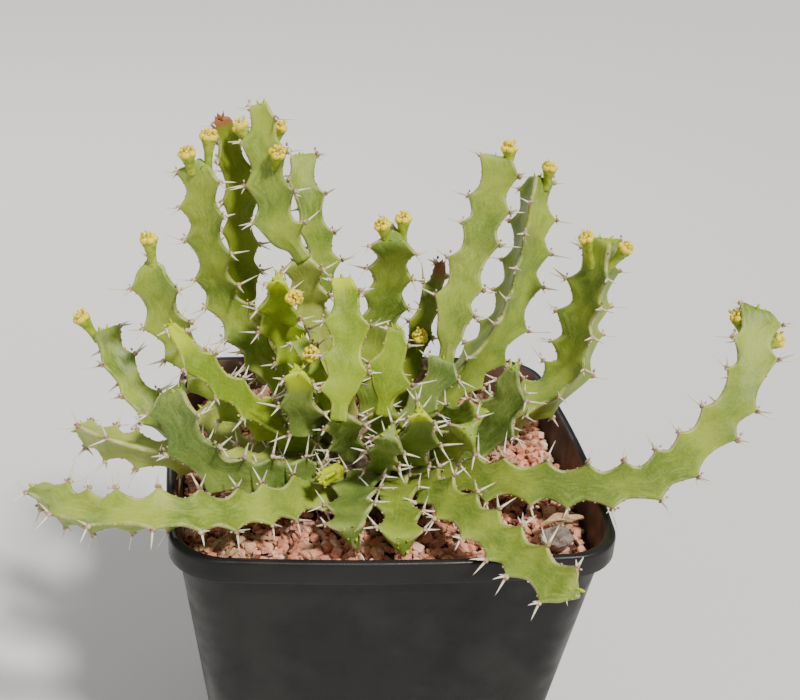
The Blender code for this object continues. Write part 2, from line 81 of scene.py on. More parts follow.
class Board:
    """A node tree with short calls for the nodes that the finishes are made of."""

    def __init__(self, tree: bpy.types.NodeTree) -> None:
        """Keeps the tree that the nodes go in."""
        self.tree = tree

    def add(self, kind: str, **settings) -> bpy.types.Node:
        """Adds one node.

        Args:
            kind: the node's type name without its "ShaderNode" start.
            settings: properties of the node to set.

        Returns:
            The node.
        """
        node = self.tree.nodes.new("ShaderNode" + kind)
        for name, value in settings.items():
            setattr(node, name, value)
        return node

    def feed(self, socket: bpy.types.NodeSocket, value: Value) -> None:
        """Links a socket to another socket, or sets its value.

        Args:
            socket: the input to fill.
            value: a socket to link, or the value itself.
        """
        if isinstance(value, bpy.types.NodeSocket):
            self.tree.links.new(value, socket)
        elif hasattr(value, "__len__") and len(value) == 3 and socket.type == "RGBA":
            socket.default_value = (*value, 1.0)
        else:
            socket.default_value = value

    def sum(self, operation: str, first: Value, second: Value = 0.0,
            clamp: bool = False) -> bpy.types.NodeSocket:
        """One Math node.

        Args:
            operation: the node's operation.
            first: a socket or a number.
            second: a socket or a number.
            clamp: whether the result is held to 0 to 1.

        Returns:
            The result's socket.
        """
        node = self.add("Math", operation=operation, use_clamp=clamp)
        self.feed(node.inputs[0], first)
        self.feed(node.inputs[1], second)
        return node.outputs[0]

    def span(self, value: Value, low: float, high: float, out_low: float = 0.0,
             out_high: float = 1.0) -> bpy.types.NodeSocket:
        """A smooth step of a value from one span to another, as a socket.

        Args:
            value: what is stepped.
            low: where the step starts.
            high: where it ends.
            out_low: the result at the start.
            out_high: the result at the end.

        Returns:
            The result's socket.
        """
        node = self.add("MapRange", interpolation_type="SMOOTHSTEP")
        self.feed(node.inputs["Value"], value)
        self.feed(node.inputs["From Min"], low)
        self.feed(node.inputs["From Max"], high)
        self.feed(node.inputs["To Min"], out_low)
        self.feed(node.inputs["To Max"], out_high)
        return node.outputs["Result"]

    def mix(self, share: Value, first: Value, second: Value, blend: str = "MIX") -> bpy.types.NodeSocket:
        """Mixes two colours, each a socket or three numbers, and returns the colour's socket.

        Args:
            share: how much of the second colour.
            first: a socket or three numbers.
            second: a socket or three numbers.
            blend: the blend mode.

        Returns:
            The colour's socket.
        """
        node = self.add("Mix", data_type="RGBA", blend_type=blend)
        self.feed(node.inputs["Factor"], share)
        self.feed(node.inputs[6], first)
        self.feed(node.inputs[7], second)
        return node.outputs[2]

    def attribute(self, name: str) -> bpy.types.NodeSocket:
        """The value of one of the mesh's own attributes."""
        return self.add("Attribute", attribute_name=name).outputs["Fac"]

    def place(self) -> bpy.types.NodeSocket:
        """The surface point in object coordinates."""
        return self.add("TexCoord").outputs["Object"]

    def noise(self, vector: Value, scale: float, detail: float = 3.0,
              rough: float = 0.5) -> bpy.types.NodeSocket:
        """A noise texture's value, as a socket, for features 1/scale metres across.

        Args:
            vector: where it is read.
            scale: features are 1/scale metres across.
            detail: how many finer layers.
            rough: how strong those are.

        Returns:
            The value's socket.
        """
        node = self.add("TexNoise")
        self.feed(node.inputs["Vector"], vector)
        self.feed(node.inputs["Scale"], scale)
        self.feed(node.inputs["Detail"], detail)
        self.feed(node.inputs["Roughness"], rough)
        return node.outputs["Fac"]


def new_group(name: str, takes: dict[str, str], gives: dict[str, str]) -> tuple[Board, dict, dict]:
    """Starts a shader node group with named sockets.

    Args:
        name: the group's name.
        takes: its inputs, each with the kind of its socket.
        gives: its outputs, in the same way.

    Returns:
        The board to build on, the inputs to read and the outputs to feed.
    """
    tree = bpy.data.node_groups.new(name, "ShaderNodeTree")
    for label, kind in takes.items():
        tree.interface.new_socket(label, in_out="INPUT", socket_type="NodeSocket" + kind)
    for label, kind in gives.items():
        tree.interface.new_socket(label, in_out="OUTPUT", socket_type="NodeSocket" + kind)
    board = Board(tree)
    start = tree.nodes.new("NodeGroupInput")
    end = tree.nodes.new("NodeGroupOutput")
    inputs = {label: start.outputs[label] for label in takes}
    outputs = {label: end.inputs[label] for label in gives}
    return board, inputs, outputs


class Effects:
    """The node groups that several finishes share, each built once."""

    def __init__(self) -> None:
        """Builds all the groups."""
        self.mottle = self._mottle()
        self.feather = self._feather()
        self.grime = self._grime()

    def _mottle(self) -> bpy.types.NodeTree:
        """Soft blotches with a fine grain on them.

        Returns:
            The group.
        """
        board, takes, gives = new_group(
            "Mottle", {"Place": "Vector", "Blotch Scale": "Float", "Grain Scale": "Float"},
            {"Blotch": "Float", "Grain": "Float"})
        blotch = board.add("TexNoise")
        board.feed(blotch.inputs["Vector"], takes["Place"])
        board.feed(blotch.inputs["Scale"], takes["Blotch Scale"])
        blotch.inputs["Detail"].default_value = 4.0
        grain = board.add("TexNoise")
        board.feed(grain.inputs["Vector"], takes["Place"])
        board.feed(grain.inputs["Scale"], takes["Grain Scale"])
        grain.inputs["Detail"].default_value = 2.0
        board.feed(gives["Blotch"], board.span(blotch.outputs["Fac"], 0.36, 0.66))
        board.feed(gives["Grain"], grain.outputs["Fac"])
        return board.tree

    def _feather(self) -> bpy.types.NodeTree:
        """Faint streaks that run up a face and fan out to its teeth.

        Returns:
            The group.
        """
        board, takes, gives = new_group(
            "Feather", {"Along": "Float", "Across": "Float", "Stem": "Float"}, {"Streak": "Float"})
        slant = board.sum("MULTIPLY", takes["Across"], 0.004)
        drawn = board.sum("SUBTRACT", takes["Along"], slant)
        where = board.add("CombineXYZ")
        board.feed(where.inputs["X"], board.sum("MULTIPLY", drawn, 0.25))
        board.feed(where.inputs["Y"], board.sum("MULTIPLY", takes["Across"], 0.0045))
        board.feed(where.inputs["Z"], takes["Stem"])
        streak = board.noise(where.outputs["Vector"], 900.0, 3.0, 0.55)
        board.feed(gives["Streak"], board.span(streak, 0.42, 0.68))
        return board.tree

    def _grime(self) -> bpy.types.NodeTree:
        """Brown specks and patches that grow with age.

        Returns:
            The group.
        """
        board, takes, gives = new_group(
            "Grime", {"Place": "Vector", "Age": "Float", "Amount": "Float"}, {"Mask": "Float"})
        patch = board.noise(takes["Place"], 210.0, 5.0, 0.65)
        need = board.sum("SUBTRACT", 0.86, board.sum("MULTIPLY", takes["Age"], 0.42))
        over = board.sum("SUBTRACT", patch, need)
        sharp = board.sum("MULTIPLY", over, 9.0, clamp=True)
        board.feed(gives["Mask"], board.sum("MULTIPLY", sharp, takes["Amount"]))
        return board.tree

    def put(self, board: Board, group: bpy.types.NodeTree, **values) -> dict:
        """Places a group in a material.

        Args:
            board: the material's board.
            group: one of this object's groups.
            values: its inputs by name, with _ for a space, each a socket or a number.

        Returns:
            Its outputs by name.
        """
        node = board.add("Group")
        node.node_tree = group
        for name, value in values.items():
            board.feed(node.inputs[name.replace("_", " ")], value)
        return {socket.name: socket for socket in node.outputs}


def new_material(name: str) -> tuple[bpy.types.Material, Board, bpy.types.Node]:
    """A new material with its board and its Principled BSDF."""
    material = bpy.data.materials.new(name)
    material.use_nodes = True
    board = Board(material.node_tree)
    return material, board, material.node_tree.nodes["Principled BSDF"]


def add_bump(board: Board, shader: bpy.types.Node, height: Value, depth: float,
             strength: float = 1.0) -> None:
    """Feeds a height into the shader's normal.

    Args:
        board: the material's board.
        shader: the Principled BSDF.
        height: a socket, 0 to 1.
        depth: how deep the height is, in metres.
        strength: the Bump node's strength.
    """
    bump = board.add("Bump")
    bump.inputs["Distance"].default_value = depth
    bump.inputs["Strength"].default_value = strength
    board.feed(bump.inputs["Height"], height)
    board.feed(shader.inputs["Normal"], bump.outputs["Normal"])


# ------------------------------------------------------------------ finishes


@dataclass(frozen=True)
class SkinFinish:
    """The waxy skin of a stem, paler on its margins and corky where it is old."""

    name: str
    deep: Colour
    light: Colour
    streak: Colour
    margin: Colour
    cork: Colour = (0.30, 0.20, 0.11)
    scar: Colour = (0.42, 0.27, 0.15)
    dried: Colour = (0.30, 0.085, 0.040)
    new: Colour = (0.480, 0.560, 0.012)
    scars: float = 0.55
    roughness: float = 0.46

    def material(self, effects: Effects) -> bpy.types.Material:
        """Builds the material.

        Args:
            effects: the shared node groups.

        Returns:
            The material.
        """
        material, board, shader = new_material(self.name)
        place = board.place()
        edge = board.attribute("edge")
        tooth = board.attribute("tooth")
        age = board.attribute("age")
        mottle = effects.put(board, effects.mottle, Place=place, Blotch_Scale=70.0, Grain_Scale=1500.0)
        feather = effects.put(board, effects.feather, Along=board.attribute("along"), Across=edge,
                              Stem=board.attribute("stem"))
        colour = board.mix(mottle["Blotch"], self.deep, self.light)
        bloom = board.span(board.noise(place, 46.0, 3.0), 0.40, 0.66, 0.12, 0.45)
        colour = board.mix(board.sum("MULTIPLY", feather["Streak"], bloom), colour, self.streak)
        fine = board.span(mottle["Grain"], 0.35, 0.7, 0.0, 0.14)
        colour = board.mix(fine, colour, self.margin)
        worn = board.span(board.noise(place, 190.0, 3.0), 0.44, 0.64, 0.10, 0.75)
        rim = board.sum("MULTIPLY", board.span(edge, 0.95, 1.0), worn)
        colour = board.mix(rim, colour, self.margin)
        grime = effects.put(board, effects.grime, Place=place, Age=age, Amount=self.scars)
        colour = board.mix(grime["Mask"], colour, self.scar)
        horn = board.span(tooth, 0.86, 1.0, 0.0, 0.7)
        colour = board.mix(horn, colour, self.scar)
        fresh = board.sum("MULTIPLY", board.attribute("fresh"), 0.85)
        colour = board.mix(fresh, colour, self.new)
        dry = board.attribute("dry")
        colour = board.mix(board.sum("MULTIPLY", dry, board.span(mottle["Grain"], 0.3, 0.6, 0.65, 1.0)),
                           colour, self.dried)
        woody = board.span(age, 0.86, 1.02, 0.0, 0.85)
        colour = board.mix(woody, colour, self.cork)
        board.feed(shader.inputs["Base Color"], colour)
        rough = board.sum("ADD", self.roughness, board.sum("MULTIPLY", mottle["Blotch"], 0.10))
        board.feed(shader.inputs["Roughness"], board.sum("ADD", rough, board.sum("MULTIPLY", woody, 0.3)))
        height = board.sum("ADD", board.sum("MULTIPLY", feather["Streak"], 0.7), mottle["Grain"])
        add_bump(board, shader, height, 0.10 * MM, 0.55)
        shader.inputs["Specular IOR Level"].default_value = 0.32
        shader.inputs["Subsurface Weight"].default_value = 0.10
        shader.inputs["Subsurface Radius"].default_value = (0.6, 1.0, 0.25)
        shader.inputs["Subsurface Scale"].default_value = 1.6 * MM
        return material


class Tone(Enum):
    """How far along in life, and how shaded, a stem is."""

    LEAF = SkinFinish("skin_leaf", (0.115, 0.190, 0.012), (0.275, 0.355, 0.030), (0.400, 0.460, 0.085),
                      (0.480, 0.450, 0.190))
    YOUNG = SkinFinish("skin_young", (0.135, 0.215, 0.004), (0.240, 0.335, 0.009), (0.310, 0.400, 0.020),
                       (0.520, 0.520, 0.110), scars=0.2)
    GREY = SkinFinish("skin_grey", (0.085, 0.150, 0.016), (0.200, 0.275, 0.042), (0.320, 0.390, 0.105),
                      (0.430, 0.410, 0.180))
    OLIVE = SkinFinish("skin_olive", (0.110, 0.160, 0.006), (0.200, 0.260, 0.012), (0.270, 0.320, 0.024),
                       (0.400, 0.380, 0.110))
    OLD = SkinFinish("skin_old", (0.250, 0.310, 0.035), (0.430, 0.480, 0.080), (0.500, 0.530, 0.130),
                     (0.560, 0.500, 0.250), scars=0.9)
    BUD = SkinFinish("skin_bud", (0.340, 0.440, 0.004), (0.520, 0.580, 0.008), (0.580, 0.620, 0.014),
                     (0.640, 0.660, 0.030), scars=0.0, roughness=0.38)


@dataclass(frozen=True)
class SpineFinish:
    """Cream spines on brown feet."""

    foot: Colour = (0.36, 0.20, 0.11)
    shaft: Colour = (0.78, 0.72, 0.56)
    point: Colour = (0.62, 0.50, 0.34)

    def material(self, effects: Effects) -> bpy.types.Material:
        """Builds the material, which reads how far along the spine a point is.

        Args:
            effects: the shared node groups.

        Returns:
            The material.
        """
        material, board, shader = new_material("spine_cream")
        reach = board.attribute("reach")
        colour = board.mix(board.span(reach, 0.02, 0.24), self.foot, self.shaft)
        colour = board.mix(board.span(reach, 0.82, 1.0, 0.0, 0.6), colour, self.point)
        grain = board.noise(board.place(), 1300.0, 2.0)
        colour = board.mix(board.span(grain, 0.4, 0.75, 0.0, 0.25), colour, self.point)
        board.feed(shader.inputs["Base Color"], colour)
        board.feed(shader.inputs["Roughness"], board.span(grain, 0.3, 0.7, 0.42, 0.6))
        add_bump(board, shader, grain, 0.03 * MM)
        return material


@dataclass(frozen=True)
class HornFinish:
    """The horny pad under each pair of spines."""

    dark: Colour = (0.30, 0.17, 0.09)
    pale: Colour = (0.62, 0.50, 0.33)

    def material(self, effects: Effects) -> bpy.types.Material:
        """Builds the material.

        Args:
            effects: the shared node groups.

        Returns:
            The material.
        """
        material, board, shader = new_material("horn_pad")
        mottle = effects.put(board, effects.mottle, Place=board.place(), Blotch_Scale=420.0,
                             Grain_Scale=2600.0)
        board.feed(shader.inputs["Base Color"], board.mix(mottle["Blotch"], self.dark, self.pale))
        board.feed(shader.inputs["Roughness"], board.span(mottle["Grain"], 0.3, 0.7, 0.55, 0.8))
        add_bump(board, shader, mottle["Grain"], 0.12 * MM)
        return material


@dataclass(frozen=True)
class PetalFinish:
    """One of the parts of a cyathium: a soft, slightly uneven colour."""

    name: str
    deep: Colour
    light: Colour
    roughness: float = 0.5

    def material(self, effects: Effects) -> bpy.types.Material:
        """Builds the material.

        Args:
            effects: the shared node groups.

        Returns:
            The material.
        """
        material, board, shader = new_material(self.name)
        mottle = effects.put(board, effects.mottle, Place=board.place(), Blotch_Scale=700.0,
                             Grain_Scale=3200.0)
        board.feed(shader.inputs["Base Color"], board.mix(mottle["Blotch"], self.deep, self.light))
        board.feed(shader.inputs["Roughness"],
                   board.span(mottle["Grain"], 0.3, 0.7, self.roughness, self.roughness + 0.15))
        add_bump(board, shader, mottle["Grain"], 0.08 * MM)
        shader.inputs["Subsurface Weight"].default_value = 0.12
        shader.inputs["Subsurface Radius"].default_value = (1.0, 0.7, 0.2)
        shader.inputs["Subsurface Scale"].default_value = 1.0 * MM
        return material


@dataclass(frozen=True)
class GritFinish:
    """Crushed red grit: every grain has its own shade between brick and pale pink."""

    shades: tuple[tuple[float, Colour], ...] = (
        (0.00, (0.200, 0.050, 0.026)),
        (0.25, (0.450, 0.135, 0.066)),
        (0.55, (0.660, 0.250, 0.130)),
        (0.80, (0.800, 0.380, 0.225)),
        (1.00, (0.900, 0.580, 0.410)),
    )
    dust: Colour = (0.850, 0.580, 0.440)

    def material(self, effects: Effects) -> bpy.types.Material:
        """Builds the material, which reads each grain's own number.

        Args:
            effects: the shared node groups.

        Returns:
            The material.
        """
        material, board, shader = new_material("grit_grain")
        ramp = board.add("ValToRGB")
        ramp.color_ramp.elements[0].color = (*self.shades[0][1], 1)
        ramp.color_ramp.elements[1].color = (*self.shades[-1][1], 1)
        for at, colour in self.shades[1:-1]:
            ramp.color_ramp.elements.new(at).color = (*colour, 1)
        board.feed(ramp.inputs["Fac"], board.attribute("grain"))
        mottle = effects.put(board, effects.mottle, Place=board.place(), Blotch_Scale=520.0,
                             Grain_Scale=2400.0)
        dusty = board.sum("MULTIPLY", mottle["Blotch"], 0.35)
        colour = board.mix(dusty, ramp.outputs["Color"], self.dust)
        pits = board.span(mottle["Grain"], 0.30, 0.46, 0.5, 0.0)
        colour = board.mix(pits, colour, self.shades[0][1])
        board.feed(shader.inputs["Base Color"], colour)
        board.feed(shader.inputs["Roughness"], board.span(mottle["Grain"], 0.3, 0.7, 0.78, 0.95))
        height = board.sum("ADD", mottle["Grain"], board.sum("MULTIPLY", mottle["Blotch"], 0.5))
        add_bump(board, shader, height, 0.25 * MM)
        return material


@dataclass(frozen=True)
class EarthFinish:
    """A rough, unevenly coloured natural surface: soil, bark, stone or a dead leaf."""

    name: str
    deep: Colour
    light: Colour
    blotch_scale: float
    grain_scale: float
    depth: float
    roughness: float = 0.85

    def material(self, effects: Effects) -> bpy.types.Material:
        """Builds the material.

        Args:
            effects: the shared node groups.

        Returns:
            The material.
        """
        material, board, shader = new_material(self.name)
        mottle = effects.put(board, effects.mottle, Place=board.place(), Blotch_Scale=self.blotch_scale,
                             Grain_Scale=self.grain_scale)
        share = board.sum("MULTIPLY", board.sum("ADD", mottle["Blotch"], mottle["Grain"]), 0.55, clamp=True)
        board.feed(shader.inputs["Base Color"], board.mix(share, self.deep, self.light))
        board.feed(shader.inputs["Roughness"],
                   board.span(mottle["Grain"], 0.3, 0.7, self.roughness - 0.1, self.roughness + 0.08))
        height = board.sum("ADD", mottle["Grain"], mottle["Blotch"])
        add_bump(board, shader, height, self.depth)
        return material


@dataclass(frozen=True)
class PotFinish:
    """Thin black plastic with a fine moulded grain and dust on it."""

    black: Colour = (0.004, 0.004, 0.0045)
    dusty: Colour = (0.075, 0.062, 0.052)
    # grit dust and a painted reflection of the red grit, on the inside
    splash_and_reflection: Colour = (0.20, 0.10, 0.065)

    def material(self, effects: Effects) -> bpy.types.Material:
        """Builds the material. The inside, above the filling, is tinted red-brown: grit dust, and a painted
        reflection of the red grit.

        Args:
            effects: the shared node groups.

        Returns:
            The material.
        """
        material, board, shader = new_material("pot_plastic")
        place = board.place()
        mottle = effects.put(board, effects.mottle, Place=place, Blotch_Scale=38.0, Grain_Scale=2100.0)
        colour = board.mix(board.span(mottle["Blotch"], 0.3, 1.0, 0.0, 0.10), self.black, self.dusty)
        inside = board.attribute("inside")
        # the red-brown tint inside is grit dust and a painted reflection of the grit on the wall
        stain_and_reflection = board.span(board.noise(place, 90.0, 4.0), 0.3, 0.62, 0.25, 0.8)
        colour = board.mix(board.sum("MULTIPLY", inside, stain_and_reflection), colour, self.splash_and_reflection)
        board.feed(shader.inputs["Base Color"], colour)
        smear = board.noise(place, 130.0, 4.0)
        rough = board.span(smear, 0.3, 0.7, 0.34, 0.52)
        board.feed(shader.inputs["Roughness"], board.sum("ADD", rough, board.sum("MULTIPLY", inside, 0.2)))
        add_bump(board, shader, mottle["Grain"], 0.05 * MM)
        shader.inputs["Specular IOR Level"].default_value = 0.30
        return material


@dataclass(frozen=True)
class FloorFinish:
    """The plain pale floor."""

    colour: Colour = (0.66, 0.65, 0.63)

    def material(self) -> bpy.types.Material:
        """Builds the material.

        Returns:
            The material.
        """
        material, board, shader = new_material("floor_pale")
        shade = board.noise(board.place(), 3.0, 2.0)
        board.feed(shader.inputs["Base Color"],
                   board.mix(board.span(shade, 0.2, 0.8, 0.0, 0.05), self.colour, (0.6, 0.59, 0.57)))
        shader.inputs["Roughness"].default_value = 0.9
        return material


# ------------------------------------------------------------------ making pieces


def settle(thing: bpy.types.Object, nodes: tuple[str, ...] = ()) -> bpy.types.Object:
    """Finishes a piece: it rides on the body and stands for its CAD nodes.

    Args:
        thing: the piece, at the origin, unturned and unscaled.
        nodes: the CAD nodes it replaces.

    Returns:
        The piece.
    """
    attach(thing, BODY)
    if nodes:
        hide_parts(*nodes)
    LOG.info("%s: %d faces", thing.name, len(thing.data.polygons))
    return thing


def deselect() -> None:
    """Clears the selection, so that an operator acts only on what it is meant for."""
    if bpy.context.object and bpy.context.object.mode != "OBJECT":
        bpy.ops.object.mode_set(mode="OBJECT")
    bpy.ops.object.select_all(action="DESELECT")


def take(thing: bpy.types.Object) -> None:
    """Makes one object the only selected and active one."""
    deselect()
    thing.select_set(True)
    bpy.context.view_layer.objects.active = thing


def join(things: list[bpy.types.Object], name: str) -> bpy.types.Object:
    """Joins objects into the first one, with its place applied, under a new name.

    Args:
        things: what is joined.
        name: the result's name.

    Returns:
        The joined object.
    """
    deselect()
    for thing in things:
        thing.select_set(True)
    bpy.context.view_layer.objects.active = things[0]
    bpy.ops.object.join()
    bpy.ops.object.transform_apply(location=True, rotation=True, scale=True)
    things[0].name = name
    things[0].data.name = name
    return things[0]


def soften(thing: bpy.types.Object, degrees: float) -> None:
    """Shades a piece smooth, with edges sharper than the angle kept crisp."""
    take(thing)
    bpy.ops.object.shade_smooth_by_angle(angle=math.radians(degrees))


class Shell:
    """Vertices, faces, finishes and attributes of one piece while it is being made."""

    def __init__(self, attributes: tuple[str, ...]) -> None:
        """Starts an empty shell with these point attributes."""
        self.points: list[Vector] = []
        self.faces: list[tuple[int, ...]] = []
        self.slots: list[int] = []
        self.values: dict[str, list[float]] = {name: [] for name in attributes}

    def point(self, where: Vector, **values: float) -> int:
        """Adds a vertex with its attributes and returns its number."""
        self.points.append(where)
        for name, kept in self.values.items():
            kept.append(values.get(name, 0.0))
        return len(self.points) - 1

    def face(self, corners: tuple[int, ...], slot: int = 0) -> None:
        """Adds a face of one finish."""
        self.faces.append(corners)
        self.slots.append(slot)

    def bridge(self, lower: list[int], upper: list[int], slot: int = 0) -> None:
        """Joins two rings with quads."""
        count = len(lower)
        for k in range(count):
            after = (k + 1) % count
            self.face((lower[k], lower[after], upper[after], upper[k]), slot)

    def fan(self, ring: list[int], hub: int, slot: int = 0, turned: bool = False) -> None:
        """Closes a ring onto one vertex."""
        for k, corner in enumerate(ring):
            after = ring[(k + 1) % len(ring)]
            self.face((after, corner, hub) if turned else (corner, after, hub), slot)

    def build(self, name: str, materials: list[bpy.types.Material]) -> bpy.types.Object:
        """Makes the object, smooth shaded.

        Args:
            name: the piece's name.
            materials: its finishes, in the order of the faces' slots.

        Returns:
            The object.
        """
        mesh = bpy.data.meshes.new(name)
        mesh.from_pydata(self.points, [], self.faces)
        for material in materials:
            mesh.materials.append(material)
        mesh.polygons.foreach_set("material_index", self.slots)
        for label, kept in self.values.items():
            mesh.attributes.new(label, "FLOAT", "POINT").data.foreach_set("value", kept)
        mesh.shade_smooth()
        mesh.update()
        thing = bpy.data.objects.new(name, mesh)
        bpy.context.scene.collection.objects.link(thing)
        return thing


def smooth_step(value: float) -> float:
    """0 below 0, 1 above 1 and a smooth S between."""
    value = max(0.0, min(1.0, value))
    return value * value * (3 - 2 * value)


def curve_point(points: list[Vector], share: float) -> Vector:
    """A point of the Catmull-Rom curve through these points, at 0 to 1 of its spans.

    Args:
        points: what it passes through.
        share: how far along, 0 to 1.

    Returns:
        The point.
    """
    spans = len(points) - 1
    index = min(int(share * spans), spans - 1)
    t = share * spans - index
    here, after = points[index], points[index + 1]
    before = points[index - 1] if index > 0 else 2 * here - after
    beyond = points[index + 2] if index + 2 <= spans else 2 * after - here
    return 0.5 * (
        2 * here
        + (after - before) * t
        + (2 * before - 5 * here + 4 * after - beyond) * t * t
        + (3 * here - before - 3 * after + beyond) * t ** 3
    )


class Route:
    """A smooth curve that can be read by its length."""

    def __init__(self, points: list[Vector], steps: int = 240) -> None:
        """Measures the curve through these points.

        Args:
            points: what the curve passes through.
            steps: how finely it is measured.
        """
        self.fine = [curve_point(points, step / steps) for step in range(steps + 1)]
        self.runs = [0.0]
        for a, b in zip(self.fine, self.fine[1:]):
            self.runs.append(self.runs[-1] + (b - a).length)
        self.length = self.runs[-1]

    def at(self, run: float) -> Vector:
        """The point this far along, on a straight line beyond either end.

        Args:
            run: how far along.

        Returns:
            The point.
        """
        if run <= 0:
            return self.fine[0] + (self.fine[0] - self.fine[3]).normalized() * -run
        if run >= self.length:
            return self.fine[-1] + (self.fine[-1] - self.fine[-4]).normalized() * (run - self.length)
        low, high = 0, len(self.runs) - 1
        while high - low > 1:
            middle = (low + high) // 2
            if self.runs[middle] <= run:
                low = middle
            else:
                high = middle
        share = (run - self.runs[low]) / (self.runs[high] - self.runs[low])
        return self.fine[low].lerp(self.fine[high], share)

    def ahead(self, run: float) -> Vector:
        """The curve's direction this far along."""
        return (self.at(run + 1.2 * MM) - self.at(run - 1.2 * MM)).normalized()


# ------------------------------------------------------------------ stems

TOOTH_PITCH = 11.4 * MM
NECK_RADIUS = 2.8 * MM
CROWN_NECK = 15 * MM
BRANCH_NECK = 5.5 * MM
FULLER = 1.07  # how far the flesh swells past the plain solid's teeth
TIP_NARROWS_OVER = 14 * MM
FACE = Vector((-0.1, -0.87, 0.48)).normalized()  # a wing turned to this side has roll 0


@dataclass(frozen=True)
class StemPlan:
    """One stem: the points it passes, root first, in mm, and its cross-section."""

    name: str
    points: tuple[Point, ...]
    wing: float  # radius out to the teeth, mm
    roll: float = 180.0  # degrees from FACE to the first wing, at the root
    twist: float = 0.0  # degrees that the wings turn by on the way to the tip
    tone: Tone = Tone.LEAF
    tip: float = 0.0  # radius out to the teeth at the tip, mm, or 0 where it doesn't narrow
    branch: bool = False  # grows from another stem, not from the crown
    dry: float = 0.0  # how much of the tip has dried up and turned red, mm
    fresh: float = 0.0  # how much of the tip is bright new growth, mm


